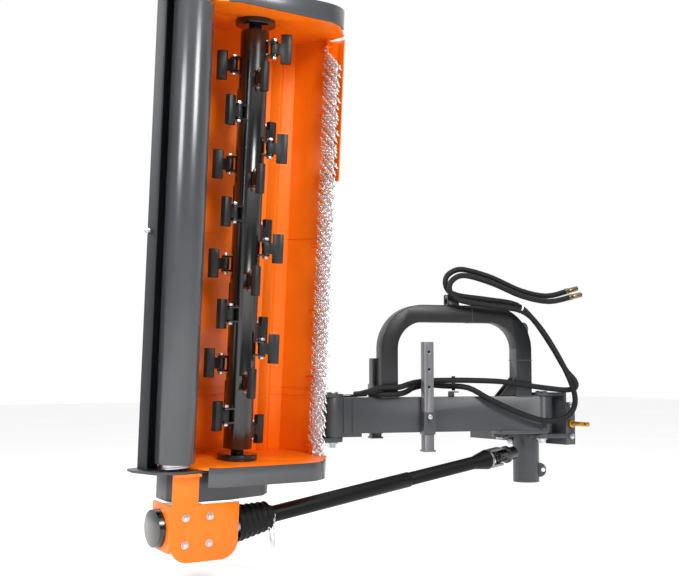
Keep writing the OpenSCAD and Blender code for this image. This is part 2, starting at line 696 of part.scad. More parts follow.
lip_u0 = 1150;
lip_end = -8;
module front_lip() color("#e8590c") head_place() along_rotor(lip_u0, cut_w)
    sheet([[head_front - 14, front_drop + 31], [head_front, front_drop], [head_front + 26, front_drop - 30],
        [head_front + 26, lip_end]], 5);
module counter_blade() color("#e8590c") head_place() along_rotor(0, cut_w)
    polygon([[flat_front - 120, deck_up - deck_t], [flat_front - 60, deck_up - deck_t],
        [flat_front - 90, deck_up - deck_t - 30]]);

// Chain curtain on its rod along the front edge; the strands hang along the rotor while the head is folded
chain_v = head_front - 22;
chain_w = front_drop - 22;
rod_r = 7;
// Inner face of the deck's front slope at height w
slope_run = (head_front - flat_front) / (deck_up - front_drop);
function slope_in(w) = head_front - (w - front_drop) * slope_run - deck_t * norm([slope_run, 1]) - 0.05;
hang_low = front_drop - 2;
hang_high = front_drop + 40;
module chain_rod() color("#e8590c") head_place() {
    rotor_bar(rod_r, 0, cut_w, chain_v, chain_w);
    for (k = [0:6])
        translate([30 + k * (cut_w - 68) / 6, 0, 0]) along_rotor(0, 8)
            polygon([[chain_v - 16, chain_w - 10], [chain_v + 12, chain_w - 12],
                [slope_in(hang_low), hang_low], [slope_in(hang_high), hang_high]]);
}
chain_drop = 62;
chain_t = 26;
module chain_curtain() color("#c4c6c8") head_place() difference() {
    along_rotor(34, cut_w - 34) translate([chain_v - chain_t / 2, chain_w - chain_drop])
        square([chain_t, chain_drop + 14]);
    rotor_bar(rod_r + soft_gap, 0, cut_w, chain_v, chain_w);
    for (k = [0:6])
        translate([30 + k * (cut_w - 68) / 6 - 2, 0, 0]) along_rotor(0, 12)
            translate([chain_v - 60, chain_w - 20]) square([120, 80]);
}

// Rear roller on its brackets, with its scraper bar
roller_v = -roller_back;
module bracket_shape() {
    difference() {
        polygon([[-95, -40], [-60, -130], [-150, -145], [roller_v, roller_w - 60],
            [roller_v - 95, roller_w - 40], [roller_v - 150, roller_w + 40],
            [roller_v - 150, roller_w + 85], [rear_v - 30, 5]]);
        translate([roller_v, roller_w]) circle(stub_r + 12);
    }
}
module roller_brackets() color("#4c4e51") head_place() for (end = [0, 1]) {
    u0 = end ? cut_w + plate_t : -plate_t - bracket_t;
    along_rotor(u0, u0 + bracket_t) bracket_shape();
    for (v = [-135, -215])
        translate([end ? u0 + bracket_t : u0, v, -95]) rotate([0, end ? 90 : -90, 0])
            cylinder(r = 13, h = 10, $fn = 6);
}
scraper_v = roller_v - 112;
scraper_w = roller_w + 48;
scraper_leg = 82;
module scraper() color("#666768") head_place() along_rotor(-plate_t, cut_w + plate_t)
    sheet([[scraper_v + scraper_leg, scraper_w + 34], [scraper_v, scraper_w + 34],
        [scraper_v, scraper_w - 42]], 6);
module roller() color("#666768") head_place() {
    translate([0, roller_v, roller_w]) difference() {
        translate([roller_in, 0, 0]) rotate([0, 90, 0]) cylinder(r = roller_r, h = cut_w - 2 * roller_in);
        translate([roller_in + 12, 0, 0]) rotate([0, 90, 0])
            cylinder(r = roller_r - roller_wall, h = cut_w - 2 * roller_in - 24);
        for (s = [0, 120, 240])
            rotate([s, 0, 0]) translate([0, 42, 0]) rotate([0, 90, 0]) cylinder(r = 9, h = cut_w);
    }
    for (u = [2 - plate_t - bracket_t, cut_w - roller_in - 12])
        rotor_bar(stub_r - 5, u, u + 10 + roller_in + plate_t + bracket_t, roller_v, roller_w);
}
module roller_bearings() color("#c4c6c8") head_place() for (end = [0, 1]) {
    u0 = end ? cut_w + plate_t : -plate_t - bracket_t;
    difference() {
        rotor_bar(stub_r + 12, u0, u0 + bracket_t, roller_v, roller_w);
        rotor_bar(stub_r - 5 + run_gap, u0 - 1, u0 + bracket_t + 1, roller_v, roller_w);
    }
}

// Rotor: tube, stub shafts and hammer lugs
lug_8 = 8;
shank_w = 44;
shank_gap = 1.5;
lug_at = shank_w / 2 + shank_gap + lug_8 / 2;
function row_of(i) = (i % 2) * 3 + floor(i / 2) % 3;
function row_angle(k) = k * row_step + 20;
module at_hammer(i) {
    translate([first_hammer + i * hammer_pitch, 0, 0]) rotate([row_angle(row_of(i)), 0, 0]) children();
}
module rotor() color("#161719") head_place() {
    difference() {
        union() {
            rotor_bar(rotor_r, 45, cut_w - 45);
            for (i = [0:hammers - 1])
                at_hammer(i) for (s = [-1, 1])
                    translate([s * lug_at, 0, 0]) along_rotor(-lug_8 / 2, lug_8 / 2) {
                        translate([row_r, 0]) circle(16);
                        polygon([[rotor_r - 6, -24], [row_r, -16], [row_r, 16], [rotor_r - 6, 24]]);
                    }
        }
        rotor_bar(rotor_r - rotor_wall, 65, cut_w - 65);
        rotor_bar(5, 40, 80, 30, 0);
        for (i = [0:hammers - 1])
            at_hammer(i) translate([0, row_r, 0]) rotate([0, 90, 0])
                cylinder(r = hammer_bolt_r + run_gap, h = 2 * shank_w, center = true);
    }
    rotor_bar(stub_r, belt_u - belt_t / 2 - 10, 45);
    rotor_bar(stub_r, cut_w - 45, cut_w + plate_t + 30);
}
bolt_half = shank_w / 2 + shank_gap + lug_8;
module hammer_bolts() color("#c4c6c8") head_place() for (i = [0:hammers - 1])
    at_hammer(i) translate([0, row_r, 0]) rotate([0, 90, 0]) {
        cylinder(r = hammer_bolt_r, h = 2 * bolt_half, center = true);
        for (s = [-1, 1])
            translate([0, 0, s * (bolt_half + 5)]) cylinder(r = 13, h = 10, center = true, $fn = 6);
    }
module rotor_bearings() color("#161719") head_place() for (end = [0, 1])
    difference() {
        union() {
            rotor_bar(80, end ? cut_w - 22 : 0, end ? cut_w : 22);
            rotor_bar(stub_r + 13, end ? cut_w - 22 : -plate_t - 16, end ? cut_w + plate_t + 16 : 22);
        }
        rotor_bar(stub_r + run_gap, -100, cut_w + 100);
    }

// Cast hammer: eye and shank between the lugs, wide blade at the end
module hammer() {
    along_rotor(-shank_w / 2, shank_w / 2) difference() {
        union() {
            translate([row_r, 0]) circle(15);
            translate([row_r, -11]) square([hammer_len - 30, 22]);
        }
        translate([row_r, 0]) circle(hammer_bolt_r + run_gap);
    }
    along_rotor(-hammer_w / 2, hammer_w / 2)
        polygon([[row_r + 28, -11], [hammer_tip - 16, -15], [hammer_tip, -6], [hammer_tip - 4, 12],
            [hammer_tip - 18, 19], [row_r + 28, 11]]);
}
module hammer_row(k) color("#232427") head_place() for (i = [0:hammers - 1])
    if (row_of(i) == k) at_hammer(i) hammer();
module hammers_1() hammer_row(0);
module hammers_2() hammer_row(1);
module hammers_3() hammer_row(2);
module hammers_4() hammer_row(3);
module hammers_5() hammer_row(4);
module hammers_6() hammer_row(5);

// Belt drive under its cover
drive_v = -drive_back;
belt_dist = len2(drive_v, drive_up);
belt_turn = atan2(drive_up, drive_v);
belt_lean = acos((rotor_pulley_r - drive_pulley_r) / belt_dist);
belt_a = belt_turn + belt_lean;
belt_b = belt_turn - belt_lean;
module belt_outline(grow) {
    polygon(concat(arc(0, 0, rotor_pulley_r + grow, belt_a, belt_b + 360, 24),
        arc(drive_v, drive_up, drive_pulley_r + grow, belt_b, belt_a, 24)));
}
belt_rib = 17;
belt_rise = 6;
module belts() color("#161719") head_place() for (s = [-1, 1])
    along_rotor(belt_u + s * 10 - belt_rib / 2, belt_u + s * 10 + belt_rib / 2) difference() {
        belt_outline(belt_rise);
        belt_outline(soft_gap);
    }
flange_t = 3;
module pulley(r, v, w, bore) {
    difference() {
        union() {
            rotor_bar(r, belt_u - belt_t / 2, belt_u + belt_t / 2, v, w);
            for (edge = [belt_u - belt_t / 2, belt_u + belt_t / 2 - flange_t])
                rotor_bar(r + 6, edge, edge + flange_t, v, w);
        }
        rotor_bar(bore, belt_u - belt_t, belt_u + belt_t, v, w);
    }
}
module rotor_pulley() color("#4c4e51") head_place() pulley(rotor_pulley_r, 0, 0, stub_r);
module drive_pulley() color("#4c4e51") head_place() pulley(drive_pulley_r, drive_v, drive_up, input_r);

cover_line = [[105, -70], [105, 50], [60, 105], [-100, 110], [-290, 60], [-345, 0], [-345, -90], [-290, -145],
    [-100, -145], [60, -112]];
cover_shrink = 4;
module belt_cover() color("#4c4e51") head_place() difference() {
    along_rotor(-cover_in - cover_deep, -plate_t - bracket_t) polygon(cover_line);
    along_rotor(-cover_in - cover_deep + cover_shrink, -plate_t - bracket_t + 1)
        polygon([for (p = cover_line) let (c = [-120, -20], d = p - c) c + d * (1 - 6 / norm(d))]);
    rotor_bar(input_r + 8, -cover_in - cover_deep - 1, -cover_in - cover_deep + cover_shrink + 1,
        drive_v, drive_up);
}

// Gearbox on its bracket
side_v = drive_v - 105;
bracket_wide = 280;
strap_wide = 105;
cover_end = -cover_in - cover_deep;
bracket_w = drive_up - 88;
bracket_low = input_u - 118;
module gearbox_bracket() color("#e8590c") head_place() difference() {
    union() {
        translate([0, 0, bracket_w - 10]) linear_extrude(10) {
            translate([bracket_low + 70, side_v]) square([cover_end - bracket_low - 76, bracket_wide]);
            translate([cover_end - 20, side_v]) square([20 - plate_t - bracket_t - cover_end, strap_wide]);
            translate([bracket_low, side_v + 70]) square([80, bracket_wide - 140]);
            for (v = [side_v + 70, side_v + bracket_wide - 70])
                translate([bracket_low + 70, v]) circle(70);
        }
        translate([-plate_t - bracket_t - 10, side_v, bracket_w - 30]) cube([10, strap_wide, 30]);
        translate([bracket_low + 40, side_v - 10, bracket_w - 10])
            cube([cover_end - bracket_low - 46, 10, 150]);
    }
    for (du = [-50, 50], dv = [-50, 50])
        translate([input_u + du, drive_v + dv, bracket_w - 20]) cylinder(r = 7, h = 40);
    translate([input_u, side_v + 5, drive_up]) rotate([90, 0, 0]) cylinder(r = 72, h = 40);
}
module gearbox_bolts() color("#c4c6c8") head_place() for (du = [-50, 50], dv = [-50, 50])
    translate([input_u + du, drive_v + dv, bracket_w]) rotate([180, 0, 0]) {
        translate([0, 0, 10 + 3]) cylinder(r = 12, h = 9, $fn = 6);
        translate([0, 0, 10]) cylinder(r = 15, h = 3);
        translate([0, 0, -14]) cylinder(r = 6.5, h = 26);
    }
module v_bar(r, v0, v1, u, w) {
    translate([u, v1, w]) rotate([90, 0, 0]) cylinder(r = r, h = v1 - v0);
}
module gearbox_housing() color("#2b2c2e") head_place() difference() {
    union() {
        translate([input_u - 75, drive_v - 75, bracket_w]) cube([150, 150, 176]);
        rotor_bar(48, input_u + 70, -cover_in - cover_deep - 2, drive_v, drive_up);
        v_bar(45, drive_v + 70, drive_v + 140, input_u, drive_up);
        v_bar(70, drive_v - 138, drive_v - 70, input_u, drive_up);
    }
    v_bar(62, drive_v - 62, drive_v + 62, input_u, drive_up);
    rotor_bar(55, input_u, input_u + 62, drive_v, drive_up);
    v_bar(input_r + run_gap, drive_v, drive_v + 200, input_u, drive_up);
    rotor_bar(input_r + run_gap, input_u, 0, drive_v, drive_up);
    for (du = [-50, 50], dv = [-50, 50])
        translate([input_u + du, drive_v + dv, bracket_w - 1]) cylinder(r = 6.5 + run_gap, h = 16);
}
module output_shaft() color("#8b8d90") head_place() {
    rotor_bar(input_r, input_u + 38, belt_u + belt_t / 2 + 12, drive_v, drive_up);
    rotor_bar(46, input_u + 42, input_u + 56, drive_v, drive_up);
}

// Driveline: the input shaft with its fork, two crosses, telescoping shafts and guards
function head_point(u, v, w) = [
    tilt_x + (u - tilt_in) * cos(fold_angle) - (w - tilt_up) * sin(fold_angle),
    rotor_y + v,
    tilt_z + (u - tilt_in) * sin(fold_angle) + (w - tilt_up) * cos(fold_angle)];
joint_at = head_point(input_u, joint_v, drive_up);
shaft_len = (-yoke_back - joint_at[1]) / cos(shaft_slope);
cross_r = 9;
fork_in = 30;
fork_out = 42;
fork_half = 20;
fork_disc = 50;
disc_t = 12;
disc_r = 40;

// Fork whose ears reach past the cross, seen along Y with the ears above and below
module fork() {
    difference() {
        union() {
            y_bar(disc_r, -fork_disc - disc_t, -fork_disc);
            for (s = [-1, 1])
                translate([-fork_half, -fork_disc, s > 0 ? fork_in : -fork_out])
                    cube([2 * fork_half, fork_disc + 18, fork_out - fork_in]);
        }
        cylinder(r = cross_r + run_gap, h = 3 * fork_out, center = true);
    }
}
module cross() {
    sphere(15);
    cylinder(r = cross_r, h = 2 * fork_out, center = true);
    rotate([0, 90, 0]) cylinder(r = cross_r, h = 2 * fork_out, center = true);
}
module joint_place() {
    translate(joint_at) children();
}
module shaft_place() {
    translate(joint_at) rotate([shaft_slope, 0, 0]) children();
}
module input_shaft() color("#8b8d90") joint_place() {
    fork();
    y_bar(input_r, drive_v + 30 - joint_v, -fork_disc - disc_t + 1);
    y_bar(30, drive_v + 40 - joint_v, drive_v + 58 - joint_v);
}
module joint_cross() color("#8b8d90") joint_place() cross();
core_r = 21;
slide_r = 16;
core_len = 700;
module drive_shaft() color("#8b8d90") shaft_place() difference() {
    union() {
        rotate([0, 90, 0]) mirror([0, 1, 0]) fork();
        y_bar(core_r, fork_disc + disc_t - 1, core_len);
    }
    y_bar(slide_r + run_gap, fork_disc + disc_t + 40, core_len + 1);
}
guard_wall = 3.5;
guard_in = fork_disc + disc_t + 8;
guard_len = 800;
inner_guard_r = guard_r - guard_wall - soft_gap;
module outer_guard() color("#1a1b1d") shaft_place() difference() {
    y_bar(guard_r, guard_in, guard_len);
    y_bar(guard_r - guard_wall, guard_in + 20, guard_len + 1);
    y_bar(core_r + run_gap, guard_in - 1, guard_in + 30);
}
// Ribbed boot over the joint
boot_ribs = 6;
boot_far = -84;
boot_r = 74;
boot_wall = 4;
rib_pitch = (guard_in - boot_far) / (boot_ribs + 0.5);
function boot_radius(i) = boot_r - (boot_r - guard_r - 26) * i / (2 * boot_ribs);
module drive_boot() color("#161719") shaft_place() {
    outer = [for (i = [0:2 * boot_ribs]) [boot_radius(i) - (i % 2) * 7, boot_far + i * rib_pitch / 2]];
    inner = [for (p = reversed(outer)) [p[0] - boot_wall, p[1]]];
    neck = [[guard_r + 6, guard_in + 2], [guard_r + 6, guard_in + 26], [guard_r + soft_gap, guard_in + 26],
        [guard_r + soft_gap, guard_in - 2]];
    rotate([-90, 0, 0]) rotate_extrude() polygon(concat(outer, neck, inner));
}
slide_in = 480;
inner_guard_in = 560;
module inner_shaft() color("#8b8d90") shaft_place() {
    y_bar(slide_r, slide_in, shaft_len - fork_disc - disc_t + 1);
    translate([0, shaft_len, 0]) fork();
}
module inner_guard() color("#1a1b1d") shaft_place() difference() {
    union() {
        y_bar(inner_guard_r, inner_guard_in, shaft_len - fork_disc - disc_t - 6);
        translate([0, shaft_len - 150, 0]) rotate([-90, 0, 0])
            cylinder(r1 = inner_guard_r, r2 = 46, h = 150 - fork_disc - disc_t - 6);
    }
    y_bar(inner_guard_r - guard_wall, inner_guard_in - 1, shaft_len - 100);
    y_bar(slide_r + run_gap, shaft_len - 110, shaft_len);
}
module tractor_cross() color("#8b8d90") shaft_place() translate([0, shaft_len, 0]) cross();
yoke_bore = 17.5;
module tractor_yoke() color("#8b8d90") shaft_place() translate([0, shaft_len, 0]) difference() {
    union() {
        rotate([0, 90, 0]) mirror([0, 1, 0]) fork();
        y_bar(30, fork_disc + disc_t - 1, fork_disc + disc_t + 45);
    }
    y_bar(yoke_bore, fork_disc - 1, fork_disc + disc_t + 46);
}

// Hydraulic hoses: two tubes along hand-chosen points beside and on the arm, couplers and clamps
function arm_point(p) = [swing_x + p[0] * cos(arm_heading) - p[1] * sin(arm_heading),
    -swing_back + p[0] * sin(arm_heading) + p[1] * cos(arm_heading), p[2]];
upper_way = [[-113, 58, 630], [0, 63, 605], [136, 65, 628], [279, 64, 685], [395, 62, 716], [458, 60, 718],
    [508, 58, 684], [506, 57, 632], [455, 58, 600], [300, 60, 582], [155, 62, 560], [69, 66, 490],
    [-10, 88, 370], [-62, 122, 260], [-96, 150, 206], [-108, 134, 172], [-82, 96, 160], [-15, 70, 166],
    [110, 62, 182], [242, 60, 200], [400, 42, 206], [500, 22, 206], [575, 14, 204], [650, 22, 197],
    [704, 50, 186], [745, 60, 176], [811, 62, 174], [850, 62, 170], [885, 58, 158], [925, 44, 147],
    [945, 26, 145]];
slack_way = [[-114, 91, 600], [3, 91, 577], [141, 93, 600], [287, 93, 655], [400, 91, 686], [460, 90, 686],
    [502, 89, 652], [498, 88, 604], [446, 89, 573], [296, 91, 552], [142, 92, 530], [57, 96, 460],
    [-18, 116, 340], [-74, 136, 220], [-108, 128, 135], [-110, 114, 76], [-78, 102, 34], [-15, 94, 16],
    [60, 87, 22], [177, 80, 62], [300, 70, 118], [400, 46, 172], [500, -8, 180], [575, -16, 184],
    [650, -4, 172], [704, 42, 154], [745, 57, 146], [825, 58, 144], [850, 42, 144], [868, 18, 144]];
hose_route = [for (p = upper_way) arm_point(p)];
slack_route = [for (p = slack_way) arm_point(p)];
hose_sides = 10;
function way(p, i) = unit(p[min(i + 1, len(p) - 1)] - p[max(i - 1, 0)]);
function side_of(d) = unit(cross(d, [0.3, 0.5, 0.81]));
function ring(p, i, r) = let (d = way(p, i), a = side_of(d), b = cross(d, a))
    [for (k = [0:hose_sides - 1]) let (t = 360 * k / hose_sides) p[i] + r * (a * cos(t) + b * sin(t))];
function spread(q, i) = let (n = len(q))
    [for (s = [0.5, 1]) let (a = q[max(i - 1, 0)], b = q[i], c = q[i + 1], d = q[min(i + 2, n - 1)])
        0.5 * (2 * b + (c - a) * s + (2 * a - 5 * b + 4 * c - d) * s * s
            + (3 * b - a - 3 * c + d) * s * s * s)];
function smooth(q) = concat([q[0]], [for (i = [0:len(q) - 2]) each spread(q, i)]);
module hose(points) {
    p = smooth(points);
    n = len(p);
    verts = [for (i = [0:n - 1]) each ring(p, i, hose_r)];
    walls = [for (i = [0:n - 2], k = [0:hose_sides - 1])
        let (a = i * hose_sides + k, b = i * hose_sides + (k + 1) % hose_sides)
        each [[a, a + hose_sides, b], [b, a + hose_sides, b + hose_sides]]];
    caps = [[for (k = [0:hose_sides - 1]) k], [for (k = [hose_sides - 1:-1:0]) (n - 1) * hose_sides + k]];
    polyhedron(verts, concat(walls, caps), convexity = 10);
}
module hoses() color("#1a1b1d") {
    hose(hose_route);
    hose(slack_route);
}
coupler_len = 70;
module coupler_at(p, q) {
    d = unit(p - q);
    translate(p + d * soft_gap) rotate([0, acos(d[2]), atan2(d[1], d[0])]) {
        cylinder(r = 13, h = 22, $fn = 6);
        translate([0, 0, 22]) cylinder(r = 10, h = coupler_len - 22);
    }
}
module hose_couplers() color("#3a3b3d") {
    coupler_at(hose_route[0], smooth(hose_route)[1]);
    coupler_at(slack_route[0], smooth(slack_route)[1]);
}
module hose_clamps() color("#8b8d90") arm_place() {
    translate([460, 22, arm_top]) cube([30, 6, 26]);
    translate([460, 22, arm_top + 20]) cube([30, 60, 6]);
}

hitch_frame();
swing_fork();
lower_hitch_pins();
swing_pins();
hitch_bolts();
swing_arm();
arm_bow();
near_leg();
far_leg();
leg_pins();
parallel_link();
carrier();
carrier_pins();
swing_barrel();
swing_rod();
tilt_barrel();
tilt_rod();
deck();
inner_end_plate();
outer_end_plate();
skids();
skid_bolts();
front_lip();
counter_blade();
chain_rod();
chain_curtain();
roller_brackets();
scraper();
roller();
roller_bearings();
rotor_bearings();
rotor();
hammer_bolts();
hammers_1();
hammers_2();
hammers_3();
hammers_4();
hammers_5();
hammers_6();
rotor_pulley();
drive_pulley();
belts();
belt_cover();
gearbox_bracket();
gearbox_housing();
gearbox_bolts();
output_shaft();
input_shaft();
joint_cross();
drive_shaft();
outer_guard();
drive_boot();
inner_shaft();
inner_guard();
tractor_cross();
tractor_yoke();
hoses();
hose_couplers();
hose_clamps();
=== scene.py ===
"""Looks of a side-offset flail mower that is folded up for transport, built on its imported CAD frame."""

import json
import logging
import math
from dataclasses import dataclass, field
from enum import Enum

import bpy
from mathutils import Euler, Matrix, Vector

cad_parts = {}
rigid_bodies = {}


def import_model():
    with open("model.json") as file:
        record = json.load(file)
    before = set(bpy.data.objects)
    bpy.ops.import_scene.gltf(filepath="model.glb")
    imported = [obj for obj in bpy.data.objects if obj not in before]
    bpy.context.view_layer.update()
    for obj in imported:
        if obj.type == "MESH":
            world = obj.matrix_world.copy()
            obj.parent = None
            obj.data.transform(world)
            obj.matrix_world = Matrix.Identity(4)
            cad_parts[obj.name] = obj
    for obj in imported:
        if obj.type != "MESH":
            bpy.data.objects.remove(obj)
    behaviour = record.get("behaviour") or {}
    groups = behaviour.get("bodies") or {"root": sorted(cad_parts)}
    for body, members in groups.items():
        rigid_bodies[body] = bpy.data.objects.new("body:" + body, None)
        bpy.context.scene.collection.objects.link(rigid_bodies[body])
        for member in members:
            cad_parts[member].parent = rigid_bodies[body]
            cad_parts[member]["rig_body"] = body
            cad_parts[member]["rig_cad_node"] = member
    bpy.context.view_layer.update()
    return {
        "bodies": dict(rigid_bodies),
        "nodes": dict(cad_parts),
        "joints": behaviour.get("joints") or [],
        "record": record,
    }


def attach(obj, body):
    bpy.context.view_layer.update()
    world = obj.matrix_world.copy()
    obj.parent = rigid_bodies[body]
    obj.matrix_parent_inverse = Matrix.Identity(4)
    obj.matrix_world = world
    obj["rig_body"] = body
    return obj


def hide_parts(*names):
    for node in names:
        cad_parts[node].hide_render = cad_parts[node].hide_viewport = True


LOG = logging.getLogger("flail_mower")
Point = tuple[float, float, float]
# Millimetres in a metre
MM = 1000
QUARTER = math.pi / 2
# Angle in degrees up to which all edges of a chain are shaded smooth
ALL_SMOOTH = 180
# Corners of a square tube's outline, closed
SQUARE = ((-1, -1), (1, -1), (1, 1), (-1, 1), (-1, -1))


class Surface(Enum):
    """Kinds of surface: paint has lighter sharp edges, a painted edge highlight that also stands for rubbed
    paint; metal is bare, soft is rubber, plastic or cloth.
    """

    PAINT = "paint"
    METAL = "metal"
    SOFT = "soft"


@dataclass(frozen=True)
class Finish:
    """One procedural finish.

    Args:
        name: Name of the material.
        colour: Base colour as an sRGB hex string.
        surface: Kind of surface.
        roughness: Middle roughness.
        metallic: Metallic value of a metal.
        shade: How far the colour drifts across the surface.
        drift: Size of that drift in metres.
        grain: Size of the fine grain in metres.
        relief: Height of the fine grain in metres.
        edge_highlight_and_wear: How far a paint's sharp edges go toward a lighter colour, as painted edge
            highlight and rubbed paint.
        edge_highlight_and_wear_colour: That lighter edge colour, painted highlight and rubbed paint, as an
            sRGB hex string.
        coat: Weight of the clear coat.
        gloss: Specular level.
    """

    name: str
    colour: str
    surface: Surface
    roughness: float
    metallic: float = 1.0
    shade: float = 0.06
    drift: float = 0.22
    grain: float = 0.004
    relief: float = 0.00001
    # Sharp edges of a paint mix toward a lighter colour: painted edge highlight, which also stands for
    # rubbed paint
    edge_highlight_and_wear: float = 0.0
    edge_highlight_and_wear_colour: str = "#8a8c8e"
    coat: float = 0.0
    gloss: float = 0.5


# The paler orange of its sharp edges is a painted edge highlight
ORANGE = Finish(
    "orange_paint", "#f37309", Surface.PAINT, 0.34,
    shade=0.07, edge_highlight_and_wear=0.12, edge_highlight_and_wear_colour="#ff9a4a", coat=0.12, gloss=0.35,
)
GREY = Finish(
    "grey_paint", "#37393d", Surface.PAINT, 0.4,
    shade=0.09, edge_highlight_and_wear=0.18, edge_highlight_and_wear_colour="#7e8185", coat=0.12,
)
# Lighter grey for the near leg alone, while the far leg keeps the arm's grey: painted light on the near
# leg's lit front face
NEAR_LEG_LIT = Finish(
    "near_leg_lit_paint", "#5e6064", Surface.PAINT, 0.36,
    shade=0.08, edge_highlight_and_wear=0.2, edge_highlight_and_wear_colour="#9a9da1", coat=0.15,
)
DARK = Finish(
    "dark_paint", "#111214", Surface.PAINT, 0.42,
    shade=0.1, edge_highlight_and_wear=0.35, edge_highlight_and_wear_colour="#6c6f74", coat=0.1, gloss=0.35,
)
BODY_GREY = Finish(
    "roller_paint", "#3a3c3f", Surface.PAINT, 0.24,
    shade=0.09, edge_highlight_and_wear=0.16, edge_highlight_and_wear_colour="#8b8e92", coat=0.3,
)
SCRAPER = Finish(
    "scraper_paint", "#2a2c2f", Surface.PAINT, 0.62,
    shade=0.09, edge_highlight_and_wear=0.1, edge_highlight_and_wear_colour="#6c6f73", gloss=0.08,
)
BLACK = Finish(
    "black_gloss_paint", "#070708", Surface.PAINT, 0.2,
    shade=0.1, edge_highlight_and_wear=0.2, edge_highlight_and_wear_colour="#3b3c3f", coat=0.5,
)
CAST = Finish(
    "cast_steel", "#0b0b0c", Surface.PAINT, 0.42,
    shade=0.2, grain=0.003, relief=0.0004, edge_highlight_and_wear=0.3, edge_highlight_and_wear_colour="#4c4d50", gloss=0.4,
)
ZINC = Finish("zinc_plate", "#c9cbce", Surface.METAL, 0.3, shade=0.1, drift=0.03, grain=0.0016)
GOLD = Finish("yellow_zinc", "#c8a04a", Surface.METAL, 0.32, shade=0.16, drift=0.02, grain=0.0016)
STEEL = Finish("machined_steel", "#9a9ca0", Surface.METAL, 0.34, shade=0.1, drift=0.05, grain=0.002)
CHROME = Finish("chromed_rod", "#dfe2e5", Surface.METAL, 0.1, shade=0.04)
GUARD = Finish(
    "guard_plastic", "#090909", Surface.SOFT, 0.45,
    shade=0.1, grain=0.0012, relief=0.00005, gloss=0.2,
)
RUBBER = Finish(
    "black_rubber", "#0d0d0e", Surface.SOFT, 0.55,
    shade=0.14, grain=0.0014, relief=0.0001, gloss=0.25,
)
SLEEVE = Finish(
    "woven_sleeve", "#0e0e0f", Surface.SOFT, 0.6,
    shade=0.4, drift=0.012, grain=0.004, relief=0.0012, gloss=0.3,
)
CHAIN = Finish("bright_chain", "#eceeef", Surface.METAL, 0.26, 0.8, shade=0.12, drift=0.02, grain=0.0016)
BRASS = Finish("coupler_plate", "#7d7356", Surface.METAL, 0.3, shade=0.2, drift=0.01, grain=0.0016)
NYLON = Finish("white_nylon", "#e9e9e6", Surface.SOFT, 0.5, shade=0.04)
FLOOR = Finish(
    "pale_floor", "#f4f4f4", Surface.SOFT, 0.75,
    shade=0.01, drift=1.2, grain=0.01, relief=0.00002,
)


def linear(colour: str) -> tuple[float, float, float, float]:
    """Turn an sRGB hex colour into linear light, by the curve of the sRGB standard.

    Args:
        colour: Hex string such as "#ff8800".

    Returns:
        Linear red, green, blue and alpha.
    """
    parts = [int(colour[i : i + 2], 16) / 255 for i in (1, 3, 5)]
    return tuple(p / 12.92 if p <= 0.04045 else ((p + 0.055) / 1.055) ** 2.4 for p in parts) + (1.0,)


def scaled(colour: tuple[float, ...], factor: float) -> tuple[float, float, float, float]:
    """Return the colour with its light multiplied by factor."""
    return tuple(min(1.0, c * factor) for c in colour[:3]) + (1.0,)


def add_node(
    tree: bpy.types.NodeTree, kind: str, settings: dict | None = None, **values: object
) -> bpy.types.Node:
    """Add a shader node.

    Args:
        tree: Node tree that takes it.
        kind: Node type, such as "ShaderNodeBump".
        settings: Properties of the node.
        **values: Socket values by name, with _ for spaces; a socket given as value is linked.

    Returns:
        The new node.
    """
    node = tree.nodes.new(kind)
    for key, value in (settings or {}).items():
        setattr(node, key, value)
    for key, value in values.items():
        socket = node.inputs[key.replace("_", " ")]
        if isinstance(value, bpy.types.NodeSocket):
            tree.links.new(value, socket)
        else:
            socket.default_value = value
    return node


